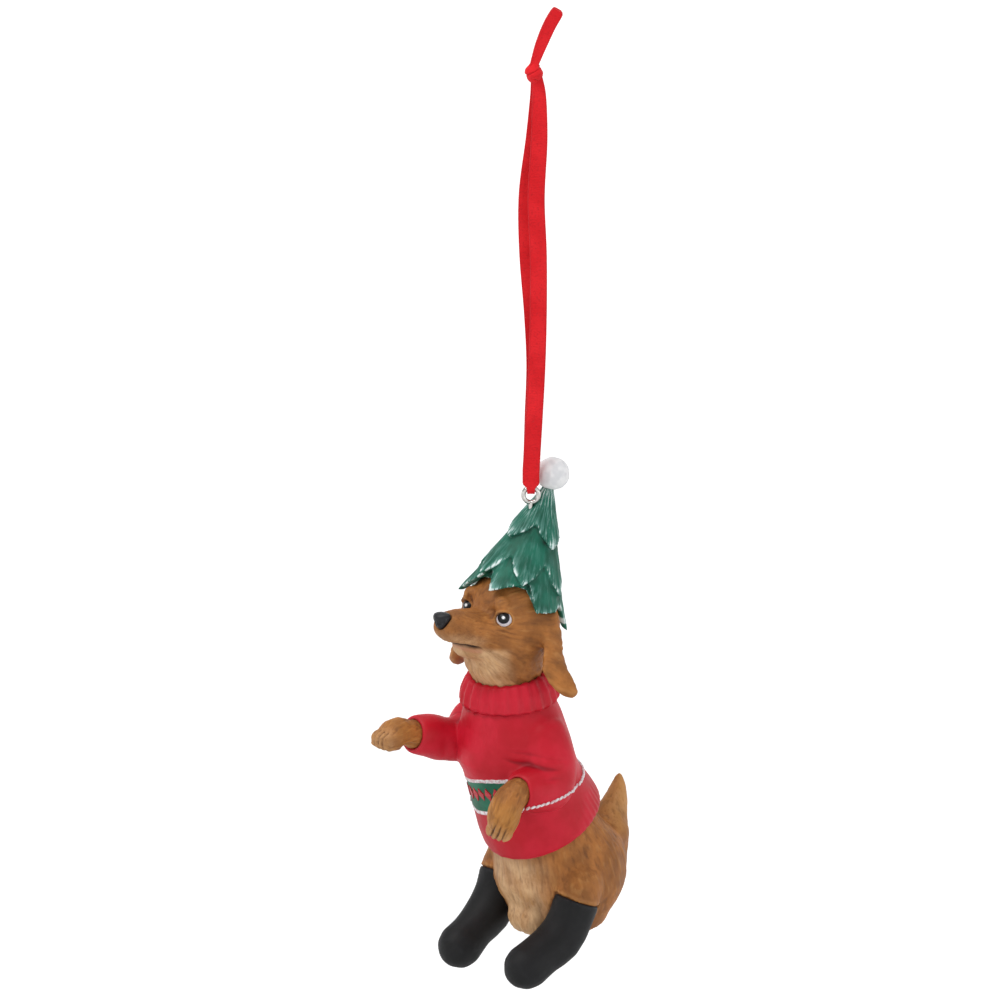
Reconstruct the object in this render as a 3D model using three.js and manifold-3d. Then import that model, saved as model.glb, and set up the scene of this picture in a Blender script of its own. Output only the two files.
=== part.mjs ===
// A hanging ornament: a cast and painted long-eared dog in a tree hat, sweater and boots, on a ribbon loop.
// Millimetres, +Z up. The origin is the inside top of the ribbon loop, where a hook or a twig carries it.
// The dog faces -Y and its left side is +X.
import * as THREE from "three";
import { mergeVertices } from "three/addons/utils/BufferGeometryUtils.js";
import Module from "manifold-3d";

const wasm = await Module();
wasm.setup();

// Gap kept between pieces that are glued or plugged together.
const CLEARANCE = 0.3;

// Ribbon loop.
const RIBBON_WIDTH = 3.2;
const RIBBON_THICKNESS = 0.45;
const LOOP_DROP = 79;
const RIBBON_TURN = 50;
const BIGHT_WIDTH = 1.3;
const BIGHT_INNER_RADIUS = 0.8;
const BIGHT_HEIGHT = 2.8;
const KNOT_WIDTH = 3.4;
const KNOT_HEIGHT = 4.2;
const END_WIDTH = 2.5;
const END_LENGTH = 10;
const END_GAP = 0.5;

// Metal eye.
const EYE_WIRE = 0.9;
const EYE_LOOP_RADIUS = 1.45;
const EYE_STEM = 0.85;
const EYE_SHANK_LENGTH = 7;
const EYE_SHANK_WIDTH = 1.1;
const EYE_STATION = 17.2;

// Tree hat, measured along its own axis from the middle of the brim.
const HAT_HEIGHT = 22;
const HAT_TILT = 22.6;
const BRIM_RADIUS = 8.9;
const HAT_TIP_RADIUS = 0.9;
const BOUGHS = 6;
const TOP_BOUGHS = 4;
const BOUGH_THICKNESS = 1.1;
const BOUGH_FLARE = 1.2;
const BOUGH_RIDGE = 0.3;
const BROW_LIFT = 3.2;
const BROW_HEADING = -70;
const POMPOM_RADIUS = 3.1;
const POMPOM_SINK = 0.9;

// Head.
const SKULL_WIDTH = 17.8;
const SKULL_LENGTH = 17.4;
const SKULL_HEIGHT = 16.6;
const MUZZLE_LENGTH = 17.6;
const MUZZLE_WIDTH = 7;
const NECK_RADIUS = 6.6;
const NECK_DROP = 11.3;
const NECK_PLUG = 6;
const NOSE_WIDTH = 3.6;
const EYE_RADIUS = 1.7;
const EYE_SPACING = 10.6;
const EAR_LENGTH = 14.6;
const EAR_WIDTH = 5.8;
const EAR_THICKNESS = 2.4;
const EAR_SPREAD = 6.6;
const RIGHT_EAR_SWING = 2.6;

// Sweater.
const COLLAR_HEIGHT = 5.8;
const COLLAR_TOP_RADIUS = 7.7;
const COLLAR_BASE_RADIUS = 9.3;
const COLLAR_RIBS = 24;
const RIB_DEPTH = 0.22;
const TORSO_LENGTH = 26.6;
const TORSO_LEAN = 18;
const CHEST_WIDTH = 22.6;
const CHEST_DEPTH = 20.4;
const HEM_WIDTH = 24;
const HEM_ROLL = 0.35;
const BACK_BOW = 1.9;
const SLEEVE_RADIUS = 4.6;
const CUFF_RADIUS = 3.5;
const RIGHT_REACH = 16.3;
const LEFT_UPPER_ARM = 9.6;
const LEFT_FOREARM = 9.2;
const ELBOW_OUT = 2.1;
const ELBOW_BACK = 0.9;
const SHOULDER_PEG_RADIUS = 1.8;
const SHOULDER_PEG_REACH = 4;

// Paws, hips, tail and boots.
const WRIST_RADIUS = 2.7;
const WRIST_PLUG = 3;
const PAW_WIDTH = 6.4;
const LEFT_PAW_REACH = 3.6;
const LEFT_PAW_DROP = 6.8;
const RIGHT_PAW_REACH = 6.6;
const RIGHT_PAW_RISE = 0.6;
const TOES = 4;
const HIP_WIDTH = 26.2;
const HIP_DEPTH = 24.4;
const HIP_DROP = 17.6;
const HIP_PLUG_RADIUS = 8;
const HIP_PLUG_HEIGHT = 6;
const LEG_RADIUS = 2.9;
const LEG_PLUG = 5;
const STANCE_WIDTH = 21.8;
const BOOT_DROP = 13.3;
const BOOT_AHEAD = 0.8;
const BOOT_RADIUS = 4.25;
const BOOT_SHAFT = 7;
const FOOT_LENGTH = 10;
const FOOT_DROOP = 28;
const TAIL_LENGTH = 8;
const TAIL_RADIUS = 2.7;

// Paint and metal finishes.
const FINISH = {
  ribbon: new THREE.MeshStandardMaterial({ color: 0xc81e2c, roughness: 0.75, metalness: 0 }),
  nickel: new THREE.MeshStandardMaterial({ color: 0xc4c2bd, roughness: 0.25, metalness: 1 }),
  fir: new THREE.MeshStandardMaterial({ color: 0x1f6a50, roughness: 0.5, metalness: 0 }),
  snow: new THREE.MeshStandardMaterial({ color: 0xdedee0, roughness: 0.7, metalness: 0 }),
  fur: new THREE.MeshStandardMaterial({ color: 0x96602d, roughness: 0.6, metalness: 0 }),
  black: new THREE.MeshStandardMaterial({ color: 0x26282c, roughness: 0.5, metalness: 0 }),
  eye: new THREE.MeshStandardMaterial({ color: 0x18181c, roughness: 0.2, metalness: 0 }),
  sweater: new THREE.MeshStandardMaterial({ color: 0xbb2035, roughness: 0.5, metalness: 0 }),
};

const radians = THREE.MathUtils.degToRad;
const vec = (x, y, z) => new THREE.Vector3(x, y, z);

// Points that the pieces share, from the brim down. The finished dog is lifted so that its eye hangs plumb.
const brim = vec(0, -4.4, -20.8);
const hatAxis = vec(0, Math.sin(radians(HAT_TILT)), Math.cos(radians(HAT_TILT)));
const skull = brim.clone().add(vec(0, -0.6, -2.7));
const neck = skull.clone().add(vec(0, -1.1, -NECK_DROP));
const collarBase = neck.clone().add(vec(0, 0.6, -COLLAR_HEIGHT));
const torsoAxis = vec(0, Math.sin(radians(TORSO_LEAN)), -Math.cos(radians(TORSO_LEAN)));
const hem = collarBase.clone().addScaledVector(torsoAxis, TORSO_LENGTH);

// A closed solid made from a geometry, and a geometry made from a solid.
function solidOf(geometry) {
  const bare = geometry.clone();
  bare.deleteAttribute("normal");
  bare.deleteAttribute("uv");
  const merged = mergeVertices(bare, 1e-4);
  const mesh = new wasm.Mesh({
    numProp: 3,
    vertProperties: new Float32Array(merged.attributes.position.array),
    triVerts: new Uint32Array(merged.index.array),
  });
  return new wasm.Manifold(mesh);
}

function geometryOf(solid) {
  const mesh = solid.getMesh();
  const geometry = new THREE.BufferGeometry();
  geometry.setAttribute("position", new THREE.BufferAttribute(mesh.vertProperties, 3));
  geometry.setIndex(new THREE.BufferAttribute(mesh.triVerts, 1));
  geometry.computeVertexNormals();
  return geometry;
}

const join = (first, ...rest) => rest.reduce((sum, solid) => sum.add(solid), first);
const cut = (first, ...rest) => rest.reduce((left, solid) => left.subtract(solid), first);

// The largest body of a cut, without the slivers that a neighbour shaves off.
function mainBody(solid) {
  const bodies = solid.decompose();
  return bodies.reduce((most, body) => (body.volume() > most.volume() ? body : most));
}

// Closed skin over rings of points that all turn the same way; the ends close on a point each.
function skin(rings, first, last) {
  const sides = rings[0].length;
  const points = [first, ...rings.flat(), last];
  const faces = [];
  const at = (ring, side) => 1 + ring * sides + (side % sides);
  for (let side = 0; side < sides; side += 1) {
    faces.push(0, at(0, side + 1), at(0, side));
    for (let ring = 0; ring + 1 < rings.length; ring += 1) {
      faces.push(at(ring, side), at(ring, side + 1), at(ring + 1, side + 1));
      faces.push(at(ring, side), at(ring + 1, side + 1), at(ring + 1, side));
    }
    faces.push(points.length - 1, at(rings.length - 1, side), at(rings.length - 1, side + 1));
  }
  const geometry = new THREE.BufferGeometry().setFromPoints(points);
  geometry.setIndex(faces);
  return solidOf(geometry);
}

// Loft through elliptical stations {at, wide, deep} with half sizes across X and across the path.
// domes are the lengths of the rounded ends and grow swells the whole form by a clearance.
// Sections follow the path, or stay square to facing where it is given. full below 1 makes them squarer.
function loft(stations, options) {
  const { grow = 0, sides = 14, steps = 2, domes = [0, 0] } = options;
  const { ribs = 0, ribDepth = 0, full = 1, facing = null } = options;
  const path = new THREE.CatmullRomCurve3(stations.map((station) => station.at), false, "catmullrom", 0.5);
  const sizes = new THREE.CatmullRomCurve3(stations.map((station) => vec(station.wide, station.deep, 0)));
  const count = (stations.length - 1) * steps;
  const swell = (part) => Math.sign(part) * Math.abs(part) ** full;
  const ringAt = (t, shift, share) => {
    const along = facing ?? path.getTangent(t);
    const middle = path.getPoint(t).addScaledVector(along, shift);
    const side = vec(1, 0, 0).addScaledVector(along, -along.x).normalize();
    const lift = along.clone().cross(side);
    const size = sizes.getPoint(t);
    return Array.from({ length: sides }, (_, index) => {
      const angle = (2 * Math.PI * index) / sides;
      const rib = ribDepth * Math.cos(ribs * angle);
      return middle
        .clone()
        .addScaledVector(side, share * (size.x + grow + rib) * swell(Math.cos(angle)))
        .addScaledVector(lift, share * (size.y + grow + rib) * swell(Math.sin(angle)));
    });
  };
  const domeAngles = [0.35, 0.7, 0.92].map((share) => (share * Math.PI) / 2);
  const dome = (t, way, length) =>
    length > 0
      ? domeAngles.map((angle) => ringAt(t, way * (length + grow) * Math.sin(angle), Math.cos(angle)))
      : [ringAt(t, way * grow, 1)];
  const endAt = (t, way, length) =>
    path.getPoint(t).addScaledVector(facing ?? path.getTangent(t), way * (length + grow));
  const body = Array.from({ length: count + 1 }, (_, index) => ringAt(index / count, 0, 1));
  const start = domes[0] > 0 || grow > 0 ? dome(0, -1, domes[0]).reverse() : [];
  const finish = domes[1] > 0 || grow > 0 ? dome(1, 1, domes[1]) : [];
  return skin([...start, ...body, ...finish], endAt(0, -1, domes[0]), endAt(1, 1, domes[1]));
}

// Ellipsoid with the given half sizes.
function ellipsoid(at, x, y, z, grow = 0, detail = 12) {
  const ball = new THREE.SphereGeometry(1, detail, Math.round(detail * 0.6));
  ball.scale(x + grow, y + grow, z + grow).translate(at.x, at.y, at.z);
  return solidOf(ball);
}

// Round peg between two points.
function peg(from, to, radius, grow = 0) {
  const along = to.clone().sub(from);
  const rod = new THREE.CylinderGeometry(radius + grow, radius + grow, along.length() + 2 * grow, 12);
  rod.applyQuaternion(new THREE.Quaternion().setFromUnitVectors(vec(0, 1, 0), along.clone().normalize()));
  const middle = from.clone().lerp(to, 0.5);
  rod.translate(middle.x, middle.y, middle.z);
  return solidOf(rod);
}

// Hat. Its cone narrows evenly from the brim to a blunt tip, and each tier of boughs flares off that cone.
const CONE_SLOPE = (BRIM_RADIUS - HAT_TIP_RADIUS) / HAT_HEIGHT;
const coneRadius = (station) => HAT_TIP_RADIUS + (HAT_HEIGHT - station) * CONE_SLOPE;

function hatPoint(station, radius, angle) {
  const back = vec(0, hatAxis.z, -hatAxis.y);
  return brim
    .clone()
    .addScaledVector(hatAxis, station)
    .addScaledVector(vec(1, 0, 0), radius * Math.cos(angle))
    .addScaledVector(back, radius * Math.sin(angle));
}

// One tier: the hem drops to a point at each bough and rises to a notch between boughs.
// rise is how far round a bough the notch lies from the point, and lift raises the hem over the brow.
function tier({ boughs, top, tip, notch, phase, rise, lift }, grow) {
  const rows = 3;
  const sides = 24;
  const rings = Array.from({ length: rows + 3 }, () => []);
  const under = notch + BOUGH_THICKNESS - grow;
  for (let side = 0; side < sides; side += 1) {
    const angle = (2 * Math.PI * side) / sides + radians(phase);
    const turn = ((boughs * side) / sides) % 1;
    const point = turn < rise ? 1 - turn / rise : (turn - rise) / (1 - rise);
    const brow = lift * Math.max(0, Math.cos(angle - radians(BROW_HEADING)));
    const hemStation = notch + (tip - notch) * point ** 0.85 + brow - grow;
    const outer = (station) => {
      const share = (top - station) / (top - tip);
      return coneRadius(station) + (BOUGH_FLARE + BOUGH_RIDGE * point) * Math.max(0, share) ** 1.6 + grow;
    };
    const thick = BOUGH_THICKNESS + grow;
    rings[0].push(hatPoint(under, outer(notch) - 2 * thick, angle));
    rings[1].push(hatPoint(hemStation + 0.4 * BOUGH_THICKNESS, outer(hemStation) - thick, angle));
    for (let row = 0; row <= rows; row += 1) {
      const station = hemStation + ((top - hemStation) * row) / rows;
      rings[2 + row].push(hatPoint(station, outer(station), angle));
    }
  }
  return skin(rings, hatPoint(under, 0, 0), hatPoint(top + HAT_TIP_RADIUS / 2 + grow, 0, 0));
}

const hatShare = (share) => share * HAT_HEIGHT;
const TIERS = [
  { boughs: BOUGHS, top: hatShare(0.45), tip: -2.9, notch: 1.5, phase: -15, rise: 0.75, lift: BROW_LIFT },
  {
    boughs: BOUGHS,
    top: hatShare(0.7),
    tip: hatShare(0.13),
    notch: hatShare(0.36),
    phase: -39,
    rise: 0.5,
    lift: 0,
  },
  {
    boughs: TOP_BOUGHS,
    top: HAT_HEIGHT,
    tip: hatShare(0.5),
    notch: hatShare(0.67),
    phase: 0,
    rise: 0.5,
    lift: 0,
  },
];

const hatSolid = (grow = 0) => join(...TIERS.map((one) => tier(one, grow)));

function pompomSolid() {
  const ball = new THREE.IcosahedronGeometry(POMPOM_RADIUS, 3);
  const points = ball.attributes.position;
  const lump = 0.04;
  for (let index = 0; index < points.count; index += 1) {
    const point = vec().fromBufferAttribute(points, index);
    const swell = Math.sin(3.1 * point.x) * Math.sin(2.7 * point.y + 1) * Math.sin(2.9 * point.z + 2);
    point.multiplyScalar(1 + lump * swell);
    points.setXYZ(index, point.x, point.y, point.z);
  }
  const middle = hatPoint(HAT_HEIGHT + HAT_TIP_RADIUS / 2 + POMPOM_RADIUS - POMPOM_SINK, 0, 0);
  ball.translate(middle.x, middle.y, middle.z);
  return solidOf(ball);
}

// Metal eye: its shank stands upright in the front slope of the hat, its loop faces the ribbon's way.
const eyeFoot = hatPoint(EYE_STATION, coneRadius(EYE_STATION), -Math.PI / 2);
const eyeMiddle = eyeFoot.clone().add(vec(0, 0, EYE_STEM + EYE_LOOP_RADIUS + EYE_WIRE / 2));
const eyeTop = eyeMiddle.clone().add(vec(0, 0, EYE_LOOP_RADIUS));

function shankSolid(grow = 0) {
  const head = eyeMiddle.clone().add(vec(0, 0, -EYE_LOOP_RADIUS));
  const foot = eyeFoot.clone().add(vec(0, 0, -EYE_SHANK_LENGTH));
  return peg(head, foot, EYE_SHANK_WIDTH / 2, grow);
}

function eyePinSolid() {
  const loop = new THREE.TorusGeometry(EYE_LOOP_RADIUS, EYE_WIRE / 2, 8, 20);
  loop.rotateX(Math.PI / 2).rotateZ(radians(RIBBON_TURN));
  loop.translate(eyeMiddle.x, eyeMiddle.y, eyeMiddle.z);
  return join(solidOf(loop), shankSolid());
}

// Head: a round skull, a tapering muzzle over a shorter jaw, and a neck that plugs into the collar.
const muzzleTip = skull.clone().add(vec(0, -MUZZLE_LENGTH, 0.9));
const HALF_MUZZLE = MUZZLE_WIDTH / 2;

function muzzleSolid(grow) {
  const root = skull.clone().add(vec(0, -0.15 * MUZZLE_LENGTH, 0.6));
  const along = (share, rise, wide, deep) => ({
    at: root.clone().lerp(muzzleTip, share).add(vec(0, 0, rise)),
    wide: wide * HALF_MUZZLE,
    deep: deep * HALF_MUZZLE,
  });
  const stations = [
    along(0, -2.6, 1.9, 1.3),
    along(0.36, -1.9, 1.5, 1.04),
    along(0.7, -0.9, 1.1, 0.96),
    along(0.92, 0.1, 0.78, 0.68),
  ];
  return loft(stations, { grow, sides: 16, domes: [0.5 * HALF_MUZZLE, 0.36 * HALF_MUZZLE], full: 0.85 });
}

function jawSolid(grow) {
  const root = skull.clone().add(vec(0, -0.1 * MUZZLE_LENGTH, -5.4));
  const chin = skull.clone().add(vec(0, -0.67 * MUZZLE_LENGTH, -4.5));
  const along = (share, wide, deep) => ({
    at: root.clone().lerp(chin, share),
    wide: wide * HALF_MUZZLE,
    deep: deep * HALF_MUZZLE,
  });
  return loft([along(0, 1.9, 1.1), along(0.55, 1.45, 0.82), along(1, 0.8, 0.44)], {
    grow,
    domes: [0.6 * HALF_MUZZLE, 0.35 * HALF_MUZZLE],
    full: 0.85,
  });
}

function neckSolid(grow) {
  const throat = skull.clone().lerp(neck, 0.5).add(vec(0, -1.3, 0));
  const plug = neck.clone().add(vec(0, 0.6, -NECK_PLUG));
  const stations = [
    { at: skull.clone().add(vec(0, -0.4, -2)), wide: 0.46 * SKULL_WIDTH, deep: 0.45 * SKULL_LENGTH },
    { at: throat, wide: NECK_RADIUS + 1.5, deep: NECK_RADIUS + 1.9 },
    { at: neck, wide: NECK_RADIUS, deep: NECK_RADIUS },
    { at: plug, wide: NECK_RADIUS - 0.4, deep: NECK_RADIUS - 0.4 },
  ];
  return loft(stations, { grow });
}

function headSolid(grow = 0) {
  const dome = ellipsoid(skull, SKULL_WIDTH / 2, SKULL_LENGTH / 2, SKULL_HEIGHT / 2, grow, 18);
  return join(dome, muzzleSolid(grow), jawSolid(grow), neckSolid(grow));
}

// Nose: a rounded wedge, broad and flat on top and narrow below.
function noseSolid(grow = 0) {
  const half = NOSE_WIDTH / 2;
  const middle = muzzleTip.clone().add(vec(0, 0.3 * half, 0.62 * half));
  const station = (rise, back, wide, deep) => ({
    at: middle.clone().add(vec(0, back * half, rise * half)),
    wide: wide * half,
    deep: deep * half,
  });
  const stations = [station(-0.6, 0.25, 0.5, 0.6), station(0, 0, 0.86, 0.86), station(0.5, 0.05, 1, 0.9)];
  return loft(stations, { grow, sides: 12, domes: [0.25 * half, 0.35 * half] });
}

// An eye sits where the skull's surface is at its height and spacing, sunk to under half its ball.
function eyeballSolid(side, grow = 0) {
  const across = EYE_SPACING / SKULL_WIDTH;
  const up = 1.8;
  const rise = (2 * up) / SKULL_HEIGHT;
  const front = (SKULL_LENGTH / 2) * Math.sqrt(1 - across ** 2 - rise ** 2);
  const surface = skull.clone().add(vec((side * EYE_SPACING) / 2, -front, up));
  const inward = skull.clone().sub(surface).normalize();
  surface.addScaledVector(inward, 0.42 * EYE_RADIUS);
  return ellipsoid(surface, EYE_RADIUS, EYE_RADIUS, EYE_RADIUS, grow);
}

// Ear: a flat flap that hangs from a peg in the side of the skull and flares outward at its tip.
// The right one swings forward.
function earRoot(side) {
  return skull.clone().add(vec(side * (SKULL_WIDTH / 2 + 0.1 * EAR_THICKNESS), 1.6, 1.4));
}

function earPeg(side, grow = 0) {
  const seat = earRoot(side).add(vec(0, -0.7, -0.32 * EAR_LENGTH));
  return peg(seat.clone().add(vec(-3 * side, 0, 0)), seat, 0.22 * EAR_WIDTH, grow);
}

function earSolid(side) {
  const root = earRoot(side);
  const swing = side < 0 ? RIGHT_EAR_SWING : 0;
  const along = (share, out, forward, wide, deep) => ({
    at: root.clone().add(vec(side * out * EAR_SPREAD, -forward - swing * share ** 2, -share * EAR_LENGTH)),
    wide: (wide * EAR_THICKNESS) / 2,
    deep: (deep * EAR_WIDTH) / 2,
  });
  const stations = [
    along(0, 0, 0, 0.7, 0.72),
    along(0.3, 0.16, 0.4, 1, 0.78),
    along(0.62, 0.36, 1, 0.95, 0.92),
    along(0.85, 0.7, 0.2, 0.85, 0.72),
    along(0.95, 0.95, -0.5, 0.6, 0.42),
  ];
  return loft(stations, { domes: [0.5 * EAR_THICKNESS, 0.05 * EAR_LENGTH] });
}

// Sweater trunk, from under the collar to the hem; f runs from 0 at the collar to 1 at the hem.
function torsoPoint(f) {
  return collarBase.clone().lerp(hem, f).add(vec(0, -BACK_BOW * Math.sin(Math.PI * f), 0));
}

function torsoSolid(grow = 0) {
  const station = (f, width, depth) => ({ at: torsoPoint(f), wide: width / 2, deep: depth / 2 });
  const shoulder = 0.82;
  const stations = [
    station(-0.06, 2 * COLLAR_BASE_RADIUS - 3, 2 * COLLAR_BASE_RADIUS - 3),
    station(0.12, shoulder * CHEST_WIDTH + 1.6, shoulder * CHEST_DEPTH + 1.6),
    station(0.4, CHEST_WIDTH, CHEST_DEPTH),
    station(0.66, CHEST_WIDTH, CHEST_DEPTH),
    station(0.86, HEM_WIDTH - 2 * HEM_ROLL, HEM_WIDTH - 2 * HEM_ROLL - 0.6),
    station(1, HEM_WIDTH, HEM_WIDTH - 0.6),
  ];
  return loft(stations, { grow, sides: 24, domes: [0, 2 * HEM_ROLL] });
}

// Collar: a ribbed roll that stands on the shoulders round the neck, drawn in at its rim and its fold.
function collarSolid(grow = 0) {
  const station = (share, radius) => {
    const at = collarBase.clone().lerp(neck, share);
    return { at, wide: radius, deep: radius };
  };
  const middle = (COLLAR_TOP_RADIUS + COLLAR_BASE_RADIUS) / 2;
  const stations = [
    station(-0.14, COLLAR_BASE_RADIUS - 0.9),
    station(0.1, COLLAR_BASE_RADIUS),
    station(0.55, middle + 0.25),
    station(0.92, COLLAR_TOP_RADIUS),
  ];
  return loft(stations, {
    grow,
    sides: 2 * COLLAR_RIBS,
    steps: 1,
    domes: [0, 0.08 * COLLAR_HEIGHT],
    ribs: COLLAR_RIBS,
    ribDepth: RIB_DEPTH,
  });
}

// Arms. The right arm reaches straight ahead. The left bends at the elbow, where its two halves meet,
// and its paw hangs from the wrist.
function shoulder(side) {
  return torsoPoint(0.2).add(vec(side * (CHEST_WIDTH / 2 - 2.4), 0, 0));
}

function shoulderPeg(side, grow = 0) {
  const middle = shoulder(side);
  const inner = middle.clone().add(vec(-SHOULDER_PEG_REACH * side, 0, -0.3 * SHOULDER_PEG_RADIUS));
  const outer = middle.add(vec(0.45 * SLEEVE_RADIUS * side, 0, -0.3 * SHOULDER_PEG_RADIUS));
  return peg(inner, outer, SHOULDER_PEG_RADIUS, grow);
}

const rightCuff = shoulder(-1).add(vec(-0.8, -RIGHT_REACH, -0.9));
const leftElbow = shoulder(1).add(vec(ELBOW_OUT, ELBOW_BACK, -LEFT_UPPER_ARM));
const leftCuff = leftElbow.clone().add(vec(0.09 * LEFT_FOREARM, -LEFT_FOREARM, 0.1 * LEFT_FOREARM));

function sleeveSolid(side) {
  const round = (at, radius) => ({ at, wide: radius, deep: radius });
  const start = shoulder(side).add(vec(-1.2 * side, 0.8, 0.4));
  const straight = [
    round(start, SLEEVE_RADIUS),
    round(shoulder(side).lerp(rightCuff, 0.36).add(vec(-1, 0, -3.4)), SLEEVE_RADIUS - 0.1),
    round(shoulder(side).lerp(rightCuff, 0.78).add(vec(0, 0, -1.1)), CUFF_RADIUS + 0.5),
    round(rightCuff, CUFF_RADIUS),
  ];
  if (side < 0) return loft(straight, { domes: [0.55 * SLEEVE_RADIUS, 0.3] });
  const elbow = leftElbow.clone().lerp(leftCuff, 0.1);
  const upper = [
    round(start, SLEEVE_RADIUS),
    round(shoulder(side).lerp(leftElbow, 0.55).add(vec(0.4, 0.4, 0)), SLEEVE_RADIUS + 0.2),
    round(elbow, SLEEVE_RADIUS - 0.1),
  ];
  const lower = [
    round(elbow, SLEEVE_RADIUS - 0.1),
    round(leftElbow.clone().lerp(leftCuff, 0.62), CUFF_RADIUS + 0.8),
    round(leftCuff, CUFF_RADIUS),
  ];
  const upperArm = loft(upper, { domes: [0.55 * SLEEVE_RADIUS, SLEEVE_RADIUS - 0.4] });
  return join(upperArm, loft(lower, { domes: [SLEEVE_RADIUS - 0.4, 0.3] }));
}

// Paw: a wrist plug inside the cuff, a rounded back and a row of toes.
function forepawSolid(side, grow = 0) {
  const cuff = side > 0 ? leftCuff : rightCuff;
  const half = PAW_WIDTH / 2;
  const hanging = vec(-0.17 * PAW_WIDTH, -LEFT_PAW_REACH, -LEFT_PAW_DROP);
  const level = vec(0.05 * PAW_WIDTH, -RIGHT_PAW_REACH, RIGHT_PAW_RISE);
  const toeRow = cuff.clone().add(side > 0 ? hanging : level);
  const arch =
    side > 0
      ? vec(-0.05 * PAW_WIDTH, -0.7 * LEFT_PAW_REACH, -0.3 * LEFT_PAW_DROP)
      : vec(0.03 * PAW_WIDTH, -0.54 * RIGHT_PAW_REACH, 0.16 * PAW_WIDTH);
  const stations = [
    { at: cuff.clone().add(vec(0, WRIST_PLUG, 0)), wide: WRIST_RADIUS - 0.2, deep: WRIST_RADIUS - 0.2 },
    { at: cuff.clone().add(vec(0, -0.4, 0)), wide: WRIST_RADIUS, deep: WRIST_RADIUS },
    { at: cuff.clone().add(arch), wide: 0.96 * half, deep: 0.92 * half },
    { at: cuff.clone().add(arch).lerp(toeRow, 0.55), wide: half, deep: 0.88 * half },
    { at: toeRow, wide: 0.86 * half, deep: 0.62 * half },
  ];
  const palm = loft(stations, { grow, domes: [0, 0.3] });
  const ahead = toeRow.clone().sub(cuff.clone().add(arch)).normalize();
  const toes = Array.from({ length: TOES }, (_, index) => {
    const across = (index - (TOES - 1) / 2) / TOES;
    const at = toeRow.clone().add(vec(across * 1.5 * half, 0, 0));
    at.addScaledVector(ahead, 0.22 * half - Math.abs(across) * 0.8);
    return ellipsoid(at, 0.31 * half, 0.5 * half, 0.5 * half, grow, 8);
  });
  return join(palm, ...toes);
}

// Hips: a plug up into the sweater, then the full rump and belly, drawn in to the bottom.
function hipsSolid(grow = 0) {
  const station = (back, down, width, depth) => ({
    at: hem.clone().add(vec(0, back, -down)),
    wide: width / 2,
    deep: depth / 2,
  });
  const stations = [
    station(-2.2, -HIP_PLUG_HEIGHT, 2 * HIP_PLUG_RADIUS, 2 * HIP_PLUG_RADIUS),
    station(0.5, 0.03 * HIP_DROP, HEM_WIDTH - 2.6, HEM_WIDTH - 3),
    station(4, 0.36 * HIP_DROP, 0.97 * HIP_WIDTH, HIP_DEPTH),
    station(4.3, 0.7 * HIP_DROP, HIP_WIDTH, 0.98 * HIP_DEPTH),
    station(4, HIP_DROP, 0.85 * HIP_WIDTH, 0.72 * HIP_DEPTH),
  ];
  return loft(stations, { grow, sides: 20, domes: [0, 0.32 * HIP_DROP], facing: vec(0, 0, -1) });
}

// Boot: a short shaft that leans back, a rounded ankle and a foot that droops, with a round toe.
const bootTop = (side) => hem.clone().add(vec((side * STANCE_WIDTH) / 2, -BOOT_AHEAD, -BOOT_DROP));

function bootPath(side) {
  const shaftLean = radians(22);
  const droop = radians(FOOT_DROOP);
  const top = bootTop(side);
  const shaft = vec(-0.05 * side, -Math.sin(shaftLean), -Math.cos(shaftLean));
  const foot = vec(-0.08 * side, -Math.cos(droop), -Math.sin(droop));
  const ankle = top.clone().addScaledVector(shaft, BOOT_SHAFT);
  return { top, shaft, ankle, foot, toe: ankle.clone().addScaledVector(foot, FOOT_LENGTH) };
}

function bootSolid(side, grow = 0) {
  const { top, ankle, toe, foot, shaft } = bootPath(side);
  const round = (at, share) => ({ at, wide: share * BOOT_RADIUS, deep: share * BOOT_RADIUS });
  const stations = [
    round(top, 1.02),
    round(top.clone().addScaledVector(shaft, 0.55 * BOOT_SHAFT), 0.97),
    round(ankle.clone().addScaledVector(foot, 0.16 * FOOT_LENGTH), 1.02),
    round(ankle.clone().lerp(toe, 0.62), 0.95),
    round(toe, 1),
  ];
  return loft(stations, { grow, sides: 16, domes: [0, BOOT_RADIUS] });
}

// Thigh down to the rim of the boot, and the leg plug that goes on inside it.
function thighSolid(side) {
  const { top, shaft } = bootPath(side);
  const round = (at, radius) => ({ at, wide: radius, deep: radius });
  const stations = [
    round(top.clone().add(vec(-7 * side, 4, 9)), BOOT_RADIUS + 0.8),
    round(top.clone().addScaledVector(shaft, -2.6).add(vec(-0.4 * side, 0, 0)), BOOT_RADIUS + 0.1),
    round(top.clone().addScaledVector(shaft, -CLEARANCE), BOOT_RADIUS - 0.25),
  ];
  return loft(stations, { domes: [2, 0] });
}

function legPlug(side, grow = 0) {
  const { top, shaft } = bootPath(side);
  const upper = top.clone().addScaledVector(shaft, -3);
  return peg(upper, top.clone().addScaledVector(shaft, LEG_PLUG), LEG_RADIUS, grow);
}

function tailSolid(grow = 0) {
  const base = hem.clone().add(vec(0, 0.7 * HIP_DEPTH, -2.6));
  const station = (back, rise, share) => ({
    at: base.clone().add(vec(0, back, rise)),
    wide: share * TAIL_RADIUS,
    deep: share * TAIL_RADIUS,
  });
  const stations = [
    station(-3.2, -3.4, 1.1),
    station(0, 0, 1.1),
    station(1.5, 0.5 * TAIL_LENGTH, 0.66),
    station(1.9, 0.85 * TAIL_LENGTH, 0.32),
  ];
  return loft(stations, { grow, sides: 12, domes: [0, 0.12 * TAIL_LENGTH] });
}

// Ribbon. A flat strip along a path of {at, wide}, whose width lies across the way that the ribbon faces.
const across = vec(Math.cos(radians(RIBBON_TURN)), Math.sin(radians(RIBBON_TURN)), 0);
const ahead = vec(across.y, -across.x, 0);

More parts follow.
